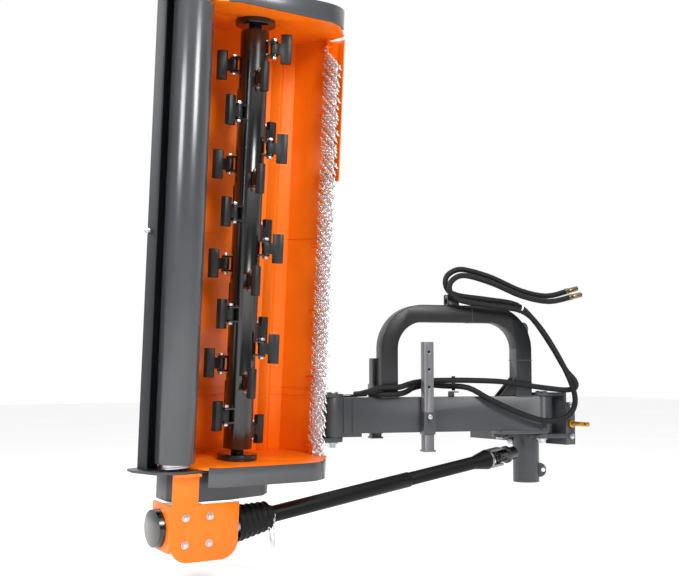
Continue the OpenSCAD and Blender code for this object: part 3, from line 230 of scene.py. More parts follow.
class MaterialBook:
    """Makes each finish once and hands it out."""

    CLOUD_DETAIL = 4.0
    GRAIN_DETAIL = 2.0
    # Noise values between which the colour drifts
    RAMP = (0.3, 0.7)
    # Pointiness between which an edge goes from its colour to the lighter edge colour: painted edge
    # highlight and rubbed paint
    EDGE = (0.54, 0.62)
    # How far the grain moves the roughness either way
    SHEEN = 0.06
    COAT_ROUGHNESS = 0.2
    # Colour sockets of the Mix node, which share their names with its other sockets
    MIX_FROM, MIX_TO, MIX_OUT = 6, 7, 2

    def __init__(self) -> None:
        """Start with no materials."""
        self.made: dict[str, bpy.types.Material] = {}

    def get(self, finish: Finish) -> bpy.types.Material:
        """Return the material of a finish, made on first use.

        Args:
            finish: What is wanted.

        Returns:
            The material.
        """
        if finish.name not in self.made:
            self.made[finish.name] = self.build(finish)
        return self.made[finish.name]

    def noise(self, tree: bpy.types.NodeTree, size: float, detail: float) -> bpy.types.NodeSocket:
        """Add noise in object coordinates.

        Args:
            tree: Node tree that takes it.
            size: Size of the noise in metres.
            detail: Detail of the noise.

        Returns:
            The noise's value.
        """
        place = add_node(tree, "ShaderNodeTexCoord").outputs["Object"]
        cloud = add_node(tree, "ShaderNodeTexNoise", Vector=place, Scale=1 / size, Detail=detail)
        return cloud.outputs["Fac"]

    def tint(self, tree: bpy.types.NodeTree, finish: Finish) -> bpy.types.NodeSocket:
        """Add the drifting colour of a finish, with a paint's lighter sharp edges: painted edge highlight
        and rubbed paint.

        Args:
            tree: Node tree that takes it.
            finish: What to build.

        Returns:
            The colour.
        """
        base = linear(finish.colour)
        ramp = add_node(tree, "ShaderNodeValToRGB", Fac=self.noise(tree, finish.drift, self.CLOUD_DETAIL))
        for stop, at, side in zip(ramp.color_ramp.elements, self.RAMP, (-1, 1)):
            stop.position = at
            stop.color = scaled(base, 1 + side * finish.shade)
        if finish.surface is not Surface.PAINT:
            return ramp.outputs["Color"]
        # Sharp edges of a paint go toward a lighter colour: painted edge highlight and rubbed paint
        edge = add_node(tree, "ShaderNodeNewGeometry").outputs["Pointiness"]
        low, high = self.EDGE
        highlight_and_wear_mask = add_node(
            tree, "ShaderNodeMapRange", Value=edge, From_Min=low, From_Max=high, To_Max=finish.edge_highlight_and_wear
        )
        highlight_and_wear_mix = add_node(tree, "ShaderNodeMix", {"data_type": "RGBA"}, Factor=highlight_and_wear_mask.outputs["Result"])
        tree.links.new(ramp.outputs["Color"], highlight_and_wear_mix.inputs[self.MIX_FROM])
        highlight_and_wear_mix.inputs[self.MIX_TO].default_value = linear(finish.edge_highlight_and_wear_colour)
        return highlight_and_wear_mix.outputs[self.MIX_OUT]

    def build(self, finish: Finish) -> bpy.types.Material:
        """Build the material of a finish.

        Args:
            finish: What to build.

        Returns:
            The material.
        """
        material = bpy.data.materials.new(finish.name)
        material.use_nodes = True
        tree = material.node_tree
        tree.nodes.clear()
        fine = self.noise(tree, finish.grain, self.GRAIN_DETAIL)
        sheen = add_node(
            tree,
            "ShaderNodeMapRange",
            Value=fine,
            To_Min=finish.roughness - self.SHEEN,
            To_Max=finish.roughness + self.SHEEN,
        )
        bump = add_node(tree, "ShaderNodeBump", Height=fine, Strength=1.0, Distance=finish.relief)
        shader = add_node(
            tree,
            "ShaderNodeBsdfPrincipled",
            Base_Color=self.tint(tree, finish),
            Roughness=sheen.outputs["Result"],
            Metallic=finish.metallic if finish.surface is Surface.METAL else 0.0,
            Normal=bump.outputs["Normal"],
            Coat_Weight=finish.coat,
            Coat_Roughness=self.COAT_ROUGHNESS,
            Specular_IOR_Level=finish.gloss,
        )
        add_node(tree, "ShaderNodeOutputMaterial", Surface=shader.outputs["BSDF"])
        return material


class Workshop:
    """Shared modelling moves on the loaded frame."""

    # Points of a CAD mesh closer than this are one point, in metres
    MERGE = 0.00002
    # Faces of a CAD mesh that turn less than this are one face
    FLAT = math.radians(1.5)
    # Edges of a CAD mesh that turn more than this are rounded
    SHARP = math.radians(40)
    # Edges of a small turned or hexagonal piece that turn more than this are rounded
    SMALL_SHARP = 0.7
    ROUND_STEPS = 2
    TUBE_RESOLUTION = 4
    LINK_SIDES, WIRE_SIDES = 10, 5
    LINK_MERGE = 0.0001
    HEX, RING_SIDES = 6, 64
    # Rim round the thread, rise of the thread and rounded edge, as shares of radius, height and radius
    NUT_RIM, THREAD_RISE, NUT_EDGE = 0.4, 0.8, 0.09
    # Heights of a strap's rings as shares of its breadth
    STRAP_RINGS = (-0.5, -0.3, 0.3, 0.5)
    STRAP_WALL = 0.0016
    # Spacing of a weld's ripples and radius of its hollows, as shares of its radius
    RIPPLE, HOLLOW = 1.1, 0.78
    BEAD_RESOLUTION = 2
    # Angle in degrees up to which the edges of thin round pieces are shaded smooth
    TUBE_SMOOTH = 60

    def __init__(self, frame: dict, book: MaterialBook) -> None:
        """Keep the frame, its bodies by node, and the materials.

        Args:
            book: Maker of the materials.
        """
        self.frame = frame
        self.book = book
        self.body_of = {n: b for b, ns in frame["record"]["behaviour"]["bodies"].items() for n in ns}

    def only(self, obj: bpy.types.Object) -> None:
        """Select one object alone and make it active.

        Args:
            obj: The object.
        """
        bpy.ops.object.select_all(action="DESELECT")
        obj.select_set(True)
        bpy.context.view_layer.objects.active = obj

    def apply(self, obj: bpy.types.Object, kind: str, **settings: object) -> None:
        """Add a modifier and apply it.

        Args:
            obj: Object that takes it.
            kind: Modifier type.
            **settings: Properties of the modifier.
        """
        self.only(obj)
        modifier = obj.modifiers.new(kind.lower(), kind)
        for key, value in settings.items():
            setattr(modifier, key, value)
        bpy.ops.object.modifier_apply(modifier=modifier.name)

    def rounded(self, obj: bpy.types.Object, width: float, sharp: float) -> None:
        """Round the sharp edges of a piece.

        Args:
            obj: The piece.
            width: Width of the rounded edges in metres.
            sharp: Turn of an edge from which it is rounded, in radians.
        """
        self.apply(
            obj, "BEVEL", width=width, segments=self.ROUND_STEPS, limit_method="ANGLE", angle_limit=sharp
        )

    def dress(
        self, obj: bpy.types.Object, name: str, finish: Finish, body: str, smooth: float = 35
    ) -> bpy.types.Object:
        """Name, paint and shade a piece, and let it ride on its body.

        Args:
            obj: The piece.
            name: Its name.
            finish: Its finish.
            body: CAD body that carries it.
            smooth: Angle in degrees up to which edges are shaded smooth.

        Returns:
            The piece.
        """
        obj.name = name
        obj.data.materials.clear()
        obj.data.materials.append(self.book.get(finish))
        if obj.type == "MESH":
            self.only(obj)
            bpy.ops.object.shade_smooth_by_angle(angle=math.radians(smooth))
        LOG.info("%s: %s on %s", name, finish.name, body)
        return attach(obj, body)

    def skin(self, node: str, finish: Finish, bevel: float) -> None:
        """Replace a CAD node by a copy with rounded edges.

        Args:
            node: CAD node.
            finish: Finish of the copy.
            bevel: Width of the rounded edges in metres.
        """
        source = self.frame["nodes"][node]
        obj = source.copy()
        obj.data = source.data.copy()
        obj.parent = None
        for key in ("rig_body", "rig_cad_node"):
            obj.pop(key, None)
        bpy.context.scene.collection.objects.link(obj)
        self.only(obj)
        bpy.ops.object.mode_set(mode="EDIT")
        bpy.ops.mesh.select_all(action="SELECT")
        bpy.ops.mesh.remove_doubles(threshold=self.MERGE)
        bpy.ops.mesh.dissolve_limited(angle_limit=self.FLAT)
        bpy.ops.object.mode_set(mode="OBJECT")
        self.rounded(obj, bevel, self.SHARP)
        self.dress(obj, f"{node}_skin", finish, self.body_of[node])
        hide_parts(node)

    def tube(self, name: str, points: list[Point], radius: float) -> bpy.types.Object:
        """Make a round tube along points as a curve.

        Args:
            name: Name of the curve.
            points: Points in metres.
            radius: Radius in metres.

        Returns:
            The curve object.
        """
        curve = bpy.data.curves.new(name, "CURVE")
        curve.dimensions = "3D"
        curve.bevel_depth = radius
        curve.bevel_resolution = self.TUBE_RESOLUTION
        curve.use_fill_caps = True
        spline = curve.splines.new("POLY")
        spline.points.add(len(points) - 1)
        for place, point in zip(spline.points, points):
            place.co = (*point, 1.0)
        obj = bpy.data.objects.new(name, curve)
        bpy.context.scene.collection.objects.link(obj)
        return obj

    def meshed(self, obj: bpy.types.Object) -> bpy.types.Object:
        """Turn a curve object into a mesh object.

        Args:
            obj: The curve.

        Returns:
            The mesh object.
        """
        self.only(obj)
        bpy.ops.object.convert(target="MESH")
        return bpy.context.view_layer.objects.active

    def join(self, objs: list[bpy.types.Object]) -> bpy.types.Object:
        """Join mesh objects into the first one and apply its place.

        Args:
            objs: The objects.

        Returns:
            The first object, with all meshes in it.
        """
        bpy.ops.object.select_all(action="DESELECT")
        for obj in objs:
            obj.select_set(True)
        bpy.context.view_layer.objects.active = objs[0]
        bpy.ops.object.join()
        self.only(objs[0])
        bpy.ops.object.transform_apply(location=True, rotation=True, scale=True)
        return objs[0]

    def link(self, radius: float, wire: float, stretch: float) -> bpy.types.Object:
        """Model one oval chain link along Z: half a ring, its ends drawn out, mirrored.

        Args:
            radius: Radius of the link's round ends.
            wire: Radius of the wire.
            stretch: Half length of the straight sides.

        Returns:
            The link.
        """
        bpy.ops.object.select_all(action="DESELECT")
        bpy.ops.mesh.primitive_torus_add(
            major_radius=radius,
            minor_radius=wire,
            major_segments=self.LINK_SIDES,
            minor_segments=self.WIRE_SIDES,
            rotation=(QUARTER, 0, 0),
        )
        ring = bpy.context.active_object
        bpy.ops.object.transform_apply(location=True, rotation=True)
        bpy.ops.object.mode_set(mode="EDIT")
        bpy.ops.mesh.select_all(action="SELECT")
        bpy.ops.transform.translate(value=(0, 0, stretch))
        bpy.ops.mesh.bisect(plane_co=(0, 0, stretch), plane_no=(0, 0, 1), clear_inner=True)
        bpy.ops.mesh.select_all(action="DESELECT")
        bpy.ops.mesh.select_non_manifold()
        bpy.ops.mesh.extrude_region_move(TRANSFORM_OT_translate={"value": (0, 0, -stretch)})
        bpy.ops.object.mode_set(mode="OBJECT")
        self.apply(ring, "MIRROR", use_axis=(False, False, True), merge_threshold=self.LINK_MERGE)
        return ring

    def placed(self, model: bpy.types.Object, spot: Vector, lean: float, roll: float) -> bpy.types.Object:
        """Copy a link with its own mesh to a place.

        Args:
            model: Link to copy.
            spot: Place of the copy.
            lean: Lean of its length from Z towards X, in radians.
            roll: Turn about its own length, in radians.

        Returns:
            The copy.
        """
        piece = model.copy()
        piece.data = model.data.copy()
        piece.location = spot
        turn = Matrix.Rotation(lean, 3, "Y") @ Matrix.Rotation(roll, 3, "Z")
        piece.rotation_euler = turn.to_euler()
        bpy.context.scene.collection.objects.link(piece)
        return piece

    def turned(self, rings: list[tuple[float, float]]) -> bpy.types.Object:
        """Model a round skin along Z, extruded from ring to ring.

        Args:
            rings: Radius and height of each ring.

        Returns:
            The skin.
        """
        radius, height = rings[0]
        bpy.ops.object.select_all(action="DESELECT")
        bpy.ops.mesh.primitive_circle_add(
            vertices=self.RING_SIDES, radius=radius, location=(0, 0, height)
        )
        skin = bpy.context.active_object
        bpy.ops.object.transform_apply(location=True)
        bpy.ops.object.mode_set(mode="EDIT")
        bpy.ops.mesh.select_all(action="SELECT")
        for (r0, z0), (r1, z1) in zip(rings, rings[1:]):
            bpy.ops.mesh.extrude_region_move(TRANSFORM_OT_translate={"value": (0, 0, z1 - z0)})
            bpy.ops.transform.resize(value=(r1 / r0, r1 / r0, 1), center_override=(0, 0, z1))
        bpy.ops.mesh.select_all(action="SELECT")
        bpy.ops.mesh.normals_make_consistent(inside=False)
        bpy.ops.object.mode_set(mode="OBJECT")
        return skin

    def lay(self, obj: bpy.types.Object, place: Matrix) -> None:
        """Move a finished piece to its place and apply the move.

        Args:
            obj: The piece, modelled about the origin.
            place: Its frame.
        """
        obj.matrix_world = place
        self.only(obj)
        bpy.ops.object.transform_apply(location=True, rotation=True, scale=True)

    def facing(self, spot: Vector, way: Vector) -> Matrix:
        """Return the frame at a spot whose Z points along way."""
        return Matrix.Translation(spot) @ way.to_track_quat("Z", "Y").to_matrix().to_4x4()

    def bolt(self, name: str, place: Matrix, size: tuple[float, float], body: str) -> None:
        """Model a hexagon nut with the end of its thread.

        Args:
            name: Name of the nut.
            place: Frame at the middle of its seat, Z away from the seat.
            size: Radius and height of the nut in metres.
            body: CAD body that carries it.
        """
        radius, height = size
        bpy.ops.object.select_all(action="DESELECT")
        bpy.ops.mesh.primitive_circle_add(vertices=self.HEX, radius=radius, fill_type="NGON")
        nut = bpy.context.active_object
        bpy.ops.object.mode_set(mode="EDIT")
        bpy.ops.mesh.select_all(action="SELECT")
        bpy.ops.mesh.extrude_region_move(TRANSFORM_OT_translate={"value": (0, 0, height)})
        bpy.ops.mesh.inset(thickness=radius * self.NUT_RIM)
        rise = (0, 0, height * self.THREAD_RISE)
        bpy.ops.mesh.extrude_region_move(TRANSFORM_OT_translate={"value": rise})
        bpy.ops.mesh.select_all(action="SELECT")
        bpy.ops.mesh.normals_make_consistent(inside=False)
        bpy.ops.object.mode_set(mode="OBJECT")
        self.rounded(nut, radius * self.NUT_EDGE, self.SMALL_SHARP)
        self.lay(nut, place)
        self.dress(nut, name, ZINC, body)

    def band(self, name: str, place: Matrix, size: Point, finish: Finish, body: str) -> None:
        """Model an oval strap round a bundle.

        Args:
            name: Name of the strap.
            place: Frame at the middle of the bundle, Z along the bundle.
            size: Half width, half height and breadth in metres.
            finish: Finish of the strap.
            body: CAD body that carries it.
        """
        strap = self.turned([(1.0, z) for z in self.STRAP_RINGS])
        bpy.ops.object.mode_set(mode="EDIT")
        bpy.ops.mesh.select_all(action="SELECT")
        bpy.ops.transform.resize(value=size, center_override=(0, 0, 0))
        bpy.ops.object.mode_set(mode="OBJECT")
        self.apply(strap, "SOLIDIFY", thickness=self.STRAP_WALL, offset=1)
        self.lay(strap, place)
        self.dress(strap, name, finish, body)

    def weld(self, name: str, points: list[Point], radius: float, finish: Finish, body: str) -> None:
        """Lay a rippled weld bead along points.

        Args:
            name: Name of the bead.
            points: Corners of its line, in metres.
            radius: Radius in metres.
            finish: Finish of the bead.
            body: CAD body that carries it.
        """
        line = []
        for a, b in zip(points, points[1:]):
            steps = max(2, int((Vector(b) - Vector(a)).length / (radius * self.RIPPLE)))
            line += [tuple(Vector(a).lerp(Vector(b), k / steps)) for k in range(steps)]
        line.append(points[-1])
        bead = self.tube(name, line, radius)
        bead.data.bevel_resolution = self.BEAD_RESOLUTION
        for k, place in enumerate(bead.data.splines[0].points):
            place.radius = 1.0 if k % 2 else self.HOLLOW
        self.dress(self.meshed(bead), name, finish, body, self.TUBE_SMOOTH)


def spread(points: list[Point], steps: int) -> list[Point]:
    """Draw a smooth line through points, as a Catmull-Rom curve.

    Args:
        points: Points of the route.
        steps: Pieces between two points.

    Returns:
        The finer line.
    """
    line = [points[0]]
    for i in range(len(points) - 1):
        a, b = Vector(points[max(i - 1, 0)]), Vector(points[i])
        c, d = Vector(points[i + 1]), Vector(points[min(i + 2, len(points) - 1)])
        for k in range(1, steps + 1):
            s = k / steps
            square = (2 * a - 5 * b + 4 * c - d) * s**2
            cube = (3 * b - a - 3 * c + d) * s**3
            line.append(tuple(0.5 * (2 * b + (c - a) * s + square + cube)))
    return line


@dataclass(frozen=True)
class Folded:
    """Places of the folded head and arm.

    Args:
        tilt: Tilt axis, to the right and up, in metres.
        tilt_in_head: Tilt axis in the head's millimetres, along the rotor and up.
        rotor_y: Rotor line in metres.
        fold: Fold angle in degrees.
        swing: Swing pin, to the right and forward, in metres.
        heading: Heading of the arm in degrees.
    """

    tilt: tuple[float, float] = (-0.1299228, 0.088)
    tilt_in_head: tuple[float, float] = (164, 315)
    rotor_y: float = -1.7158541
    fold: float = 85.8
    swing: tuple[float, float] = (0.25, -0.1)
    heading: float = 252.0

    def head(self, u: float, v: float, w: float) -> Point:
        """Return the place of a point of the head.

        Args:
            u: Millimetres along the rotor.
            v: Millimetres forward of the rotor.
            w: Millimetres above the rotor.

        Returns:
            The place in metres.
        """
        c, s = math.cos(math.radians(self.fold)), math.sin(math.radians(self.fold))
        a, b = (u - self.tilt_in_head[0]) / MM, (w - self.tilt_in_head[1]) / MM
        return (self.tilt[0] + a * c - b * s, self.rotor_y + v / MM, self.tilt[1] + a * s + b * c)

    def arm(self, along: float, side: float, z: float) -> Point:
        """Return the place of a point of the arm.

        Args:
            along: Millimetres along the arm from the swing pin.
            side: Millimetres to its seen side.
            z: Millimetres above the frame's origin.

        Returns:
            The place in metres.
        """
        c, s = math.cos(math.radians(self.heading)), math.sin(math.radians(self.heading))
        x = self.swing[0] + (along * c - side * s) / MM
        return (x, self.swing[1] + (along * s + side * c) / MM, z / MM)


PLACE = Folded()


@dataclass
class HardParts:
    """CAD nodes that keep their shape, with rounded edges.

    Args:
        shop: Modelling moves.
        hammer_rows: Number of rows of hammers.
        hammer_edge: Edge width of the hammers in millimetres.
        edges: Finish and edge width in millimetres of each other node.
    """

    shop: Workshop
    hammer_rows: int = 6
    hammer_edge: float = 3.5
    edges: dict[str, tuple[Finish, float]] = field(
        default_factory=lambda: {
            "hitch_frame": (GREY, 2.0),
            "swing_fork": (GREY, 1.5),
            "lower_hitch_pins": (GOLD, 1.2),
            "swing_pins": (ZINC, 1.2),
            "hitch_bolts": (ZINC, 1.0),
            "swing_arm": (GREY, 2.5),
            "arm_bow": (DARK, 5.0),
            # The near leg takes the lighter grey: painted light on its lit front face
            "near_leg": (NEAR_LEG_LIT, 1.5),
            "far_leg": (GREY, 1.5),
            "leg_pins": (ZINC, 0.8),
            "parallel_link": (GREY, 2.0),
            "carrier": (GREY, 2.0),
            "carrier_pins": (ZINC, 1.0),
            "swing_barrel": (BLACK, 1.0),
            "swing_rod": (CHROME, 0.8),
            "tilt_barrel": (BLACK, 1.0),
            "tilt_rod": (CHROME, 0.8),
            "deck": (ORANGE, 1.2),
            "inner_end_plate": (ORANGE, 1.2),
            "outer_end_plate": (ORANGE, 1.2),
            "skids": (BODY_GREY, 1.5),
            "skid_bolts": (ZINC, 1.0),
            "front_lip": (ORANGE, 1.0),
            "counter_blade": (ORANGE, 1.0),
            "chain_rod": (ORANGE, 0.8),
            "roller_brackets": (GREY, 1.5),
            "scraper": (SCRAPER, 1.2),
            "roller": (BODY_GREY, 2.0),
            "roller_bearings": (ZINC, 0.8),
            "rotor_bearings": (BLACK, 2.0),
            "rotor": (BLACK, 1.6),
            "hammer_bolts": (ZINC, 1.0),
            "rotor_pulley": (CAST, 1.0),
            "drive_pulley": (CAST, 1.0),
            "belt_cover": (GREY, 3.0),
            "gearbox_bracket": (ORANGE, 2.0),
            "gearbox_housing": (BLACK, 4.0),
            "gearbox_bolts": (ZINC, 1.0),
            "output_shaft": (STEEL, 0.8),
            "input_shaft": (STEEL, 1.0),
            "joint_cross": (STEEL, 0.8),
            "drive_shaft": (STEEL, 1.0),
            "outer_guard": (GUARD, 1.0),
            "inner_shaft": (STEEL, 1.0),
            "inner_guard": (GUARD, 1.0),
            "tractor_cross": (BLACK, 0.8),
            "tractor_yoke": (BLACK, 1.0),
            "hose_clamps": (GREY, 0.8),
        }
    )

    def build(self) -> None:
        """Round and paint each node."""
        for node, (finish, width) in self.edges.items():
            self.shop.skin(node, finish, width / MM)
        for k in range(1, self.hammer_rows + 1):
            self.shop.skin(f"hammers_{k}", CAST, self.hammer_edge / MM)


@dataclass
class Hoses:
    """Two sleeved hydraulic hoses from the arm's end to their couplers.

    The routes start at the couplers, in millimetres along the arm, to its seen side and up.

    Args:
        shop: Modelling moves.
        radius: Radius of a hose in metres.
        steps: Pieces of a hose between two points of its route.
        hexagon: Radius, length and middle of a coupler's hexagon, in metres from the hose's end.
        hexagon_edge: Edge width of the hexagon in metres.
        nose: Radius, length and middle of a coupler's nose, in metres from the hose's end.
        nose_sides: Number of sides of the nose.
        nose_edge: Edge width of the nose in metres.
        rim: Width of the nose's rim in metres.
        bore: Depth of the nose's bore in metres.
        first: Route of the upper hose.
        second: Route of the hose with the slack loop.
    """

    # Part of Z in the normal of a face that looks along Z
    UPWARD = 0.9

    shop: Workshop
    radius: float = 0.013
    steps: int = 4
    hexagon: tuple[float, float, float] = (0.0148, 0.022, 0.0)
    hexagon_edge: float = 0.0016
    nose: tuple[float, float, float] = (0.0122, 0.0475, 0.0349)
    nose_sides: int = 32
    nose_edge: float = 0.0008
    rim: float = 0.003
    bore: float = 0.016
    first: tuple[Point, ...] = (
        (-113, 58, 630), (0, 63, 605), (136, 65, 628), (279, 64, 685), (395, 62, 716), (458, 60, 718),
        (508, 58, 684), (506, 57, 632), (455, 58, 600), (300, 60, 582), (155, 62, 560), (69, 66, 490),
        (-10, 88, 370), (-62, 122, 260), (-96, 150, 206), (-108, 134, 172), (-82, 96, 160), (-15, 70, 166),
        (110, 62, 182), (242, 60, 200), (400, 42, 206), (500, 22, 206), (575, 14, 204), (650, 22, 197),
        (704, 50, 186), (745, 60, 176), (811, 62, 174), (850, 62, 170), (885, 58, 158), (925, 44, 147),
        (945, 26, 145),
    )
    second: tuple[Point, ...] = (
        (-114, 91, 600), (3, 91, 577), (141, 93, 600), (287, 93, 655), (400, 91, 686), (460, 90, 686),
        (502, 89, 652), (498, 88, 604), (446, 89, 573), (296, 91, 552), (142, 92, 530), (57, 96, 460),
        (-18, 116, 340), (-74, 136, 220), (-108, 128, 135), (-110, 114, 76), (-78, 102, 34), (-15, 94, 16),
        (60, 87, 22), (177, 80, 62), (300, 70, 118), (400, 46, 172), (500, -8, 180), (575, -16, 184),
        (650, -4, 172), (704, 42, 154), (745, 57, 146), (825, 58, 144), (850, 42, 144), (868, 18, 144),
    )

    def barrel(self, sides: int, size: tuple[float, float, float]) -> bpy.types.Object:
        """Start a piece of a coupler.

        Args:
            sides: Number of its sides.
            size: Radius, length and middle along Z, in metres.

        Returns:
            The piece.
        """
        radius, length, middle = size
        bpy.ops.object.select_all(action="DESELECT")
        bpy.ops.mesh.primitive_cylinder_add(
            vertices=sides, radius=radius, depth=length, location=(0, 0, middle)
        )
        return bpy.context.active_object

    def coupler(self, name: str, place: Matrix) -> bpy.types.Object:
        """Model a quick coupler: a hexagon with a bored nose.

        Args:
            name: Name of the piece.
            place: Frame at the hose's end, Z in the direction in which the coupler points.

        Returns:
            The coupler.
        """
        hexagon = self.barrel(self.shop.HEX, self.hexagon)
        self.shop.apply(hexagon, "BEVEL", width=self.hexagon_edge, segments=self.shop.ROUND_STEPS)
        nose = self.barrel(self.nose_sides, self.nose)
        bpy.ops.object.mode_set(mode="EDIT")
        bpy.ops.mesh.select_all(action="DESELECT")
        bpy.ops.object.mode_set(mode="OBJECT")
        for face in nose.data.polygons:
            face.select = face.normal.z > self.UPWARD
        bpy.ops.object.mode_set(mode="EDIT")
        bpy.ops.mesh.inset(thickness=self.rim)
        bpy.ops.mesh.extrude_region_move(TRANSFORM_OT_translate={"value": (0, 0, -self.bore)})
        bpy.ops.object.mode_set(mode="OBJECT")
        self.shop.rounded(nose, self.nose_edge, self.shop.SMALL_SHARP)
        piece = self.shop.join([hexagon, nose])
        self.shop.lay(piece, place)
        self.shop.dress(piece, name, BRASS, "arm")
        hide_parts("hose_couplers")
        return piece

    def build(self) -> None:
        """Lay both hoses along their routes and put a coupler on each."""
        for name, route in (("upper_hose", self.first), ("slack_hose", self.second)):
            line = spread([PLACE.arm(*p) for p in reversed(route)], self.steps)
            hose = self.shop.tube(name, line, self.radius)
            self.shop.dress(hose, name, SLEEVE, "arm")
            end = Vector(line[-1])
            way = end - Vector(line[-self.steps])
            plug = self.coupler(f"{name}_coupler", self.shop.facing(end, way))
            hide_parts("hoses")


@dataclass
class ChainCurtain:
    """Short chains that hang side by side from the rod of the folded head.

    Places along the rotor, forward and up are in millimetres, as the head has them.

    Args:
        shop: Modelling moves.
        strands: Number of chains.
        links: Links of a chain.
        bend: Radius of a link's round ends in metres.
        wire: Radius of the wire in metres.
        straight: Half length of a link's straight sides in metres.
        start: Place of the first chain along the rotor.
        run: Length of the row along the rotor.
        rod: Place of the rod, forward and up.
        stagger: How far chains stand before and behind the rod.
        fall: Step of each link, back along the rotor and down.
        give: How far the sway of a chain moves each link, along the rotor, forward and down.
        lean: Lean of the links in degrees.
        roll: Turn of the first link about its length in radians.
        twist: How far the sway of a chain moves lean and roll, in radians.
        beats: How fast the stagger and the two waves of the sway change from chain to chain.
    """

    shop: Workshop
    strands: int = 134
    links: int = 9
    bend: float = 0.0062
    wire: float = 0.0029
    straight: float = 0.0034
    start: float = 48
    run: float = 1656
    rod: tuple[float, float] = (378, 50)
    stagger: float = 8
    fall: tuple[float, float] = (8.6, 11.0)
    give: tuple[float, float, float] = (0.9, 1.2, 0.6)
    lean: float = 131
    roll: float = 0.8
    twist: tuple[float, float] = (0.1, 0.25)
    beats: tuple[float, float, float] = (2.3, 1.7, 0.6)

    def strand(self, k: int, model: bpy.types.Object) -> list[bpy.types.Object]:
        """Hang one chain, swayed and staggered by its number.

        Args:
            k: Number of the chain.
            model: Link to copy.

        Returns:
            Its links.
        """
        u = self.start + k * self.run / (self.strands - 1)
        shift, first, second = (k * beat for beat in self.beats)
        v = self.rod[0] + self.stagger * math.sin(shift)
        sway = math.sin(first) * math.cos(second)
        back = self.fall[0] + self.give[0] * sway
        down = self.fall[1] - self.give[2] * sway
        lean = math.radians(self.lean) + self.twist[0] * sway
        chain = []
        for i in range(self.links):
            spot = PLACE.head(u - back * i, v + self.give[1] * sway * i, self.rod[1] - down * i)
            roll = QUARTER * (i % 2) + self.roll + self.twist[1] * sway
            chain.append(self.shop.placed(model, Vector(spot), lean, roll))
        return chain

    def build(self) -> None:
        """Hang the chains from the rod and replace the CAD bar."""
        model = self.shop.link(self.bend, self.wire, self.straight)
        pieces = [piece for k in range(self.strands) for piece in self.strand(k, model)]
        bpy.data.objects.remove(model)
        curtain = self.shop.join(pieces)
        self.shop.dress(curtain, "chain_strands", CHAIN, "curtain", ALL_SMOOTH)
        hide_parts("chain_curtain")


@dataclass
class Driveline:
    """Ribbed boot over the driveline's first joint, and the chain that holds the guard still.

    Lengths are in metres, along the driveline from its first joint.

    Args:
        shop: Modelling moves.
        joint: First joint in the head's millimetres.
        slope: Slope of the driveline in degrees.
        span: Ends of the ribbed length.
        ribs: Number of ribs.
        rib_rings: Rings of each rib.
        mouth: Radius of the boot's wide end.
        taper: How much narrower the other end is.
        groove: Depth between two ribs.
        collar: Radius and distance past the ribs of each ring of the collar.
        wall: Thickness of the boot.
        boot_smooth: Angle in degrees up to which its edges are shaded smooth.
        loop_links: Links of the chain.
        link: Radius of round ends, radius of wire and half length of the straight sides of a link.
        loop_side: Distance of the chain's ends beside the driveline.
        loop_belly: How much farther its middle is.
        loop_span: Ends of the chain.
        loop_dip: Depth of the loop.
        loop_lean: Lean of the links at the loop's ends, in radians.
        loop_roll: Turn of the first link about its length, in radians.
    """

    shop: Workshop
    joint: Point = (-232, 40, -60)
    slope: float = 8.0
    span: tuple[float, float] = (-0.084, 0.070)
    ribs: int = 6
    rib_rings: int = 6
    mouth: float = 0.074
    taper: float = 0.015
    groove: float = 0.007
    collar: tuple[tuple[float, float], ...] = ((0.041, 0.003), (0.0388, 0.008), (0.0388, 0.025))
    wall: float = 0.0038
    boot_smooth: float = 50
    loop_links: int = 28
    link: tuple[float, float, float] = (0.0050, 0.0019, 0.0034)
    loop_side: float = 0.034
    loop_belly: float = 0.02
    loop_span: tuple[float, float] = (0.088, 0.058)
    loop_dip: float = 0.118
    loop_lean: float = 0.25
    loop_roll: float = 0.5

    def place(self) -> Matrix:
        """Return the frame of the driveline, Z along it from the first joint."""
        turn = Matrix.Rotation(math.radians(self.slope - 90), 4, "X")
        return Matrix.Translation(PLACE.head(*self.joint)) @ turn

    def boot(self) -> None:
        """Extrude the boot ring by ring and give it a wall."""
        far, near = self.span
        steps = self.ribs * self.rib_rings
        rings = []
        for i in range(steps + 1):
            t = i / steps
            dip = 0.5 - 0.5 * math.cos(t * self.ribs * 2 * math.pi)
            rings.append((self.mouth - self.taper * t - self.groove * dip, far + (near - far) * t))
        rings += [(radius, near + past) for radius, past in self.collar]
        boot = self.shop.turned(rings)
        self.shop.apply(boot, "SOLIDIFY", thickness=self.wall, offset=-1)
        self.shop.lay(boot, self.place())
        self.shop.dress(boot, "ribbed_boot", RUBBER, "shaft", self.boot_smooth)
        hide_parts("drive_boot")

    def chain(self) -> None:
        """Hang the guard's holding chain in a loop from the boot's collar."""
        model = self.shop.link(*self.link)
        frame = self.place()
        start, end = self.loop_span
        pieces = []
        for k in range(self.loop_links):
            t = k / (self.loop_links - 1)
            side = self.loop_side + self.loop_belly * math.sin(t * math.pi)
            spot = frame @ Vector((side, 0, start + (end - start) * t))
            spot -= Vector((0, 0, self.loop_dip * 4 * t * (1 - t)))
            lean = self.loop_lean * (1 - 2 * t)
            pieces.append(self.shop.placed(model, spot, lean, QUARTER * (k % 2) + self.loop_roll))
        bpy.data.objects.remove(model)
        self.shop.dress(self.shop.join(pieces), "guard_chain", CHAIN, "shaft", ALL_SMOOTH)

    def build(self) -> None:
        """Model the boot and the chain."""
        self.boot()
        self.chain()


@dataclass
class Belts:
    """Belts round the two pulleys under their cover.

    Args:
        shop: Modelling moves.
        edge: Edge width in metres.
    """

    shop: Workshop
    edge: float = 0.0015

    def build(self) -> None:
        """Round the belts' edges."""
        self.shop.skin("belts", RUBBER, self.edge)


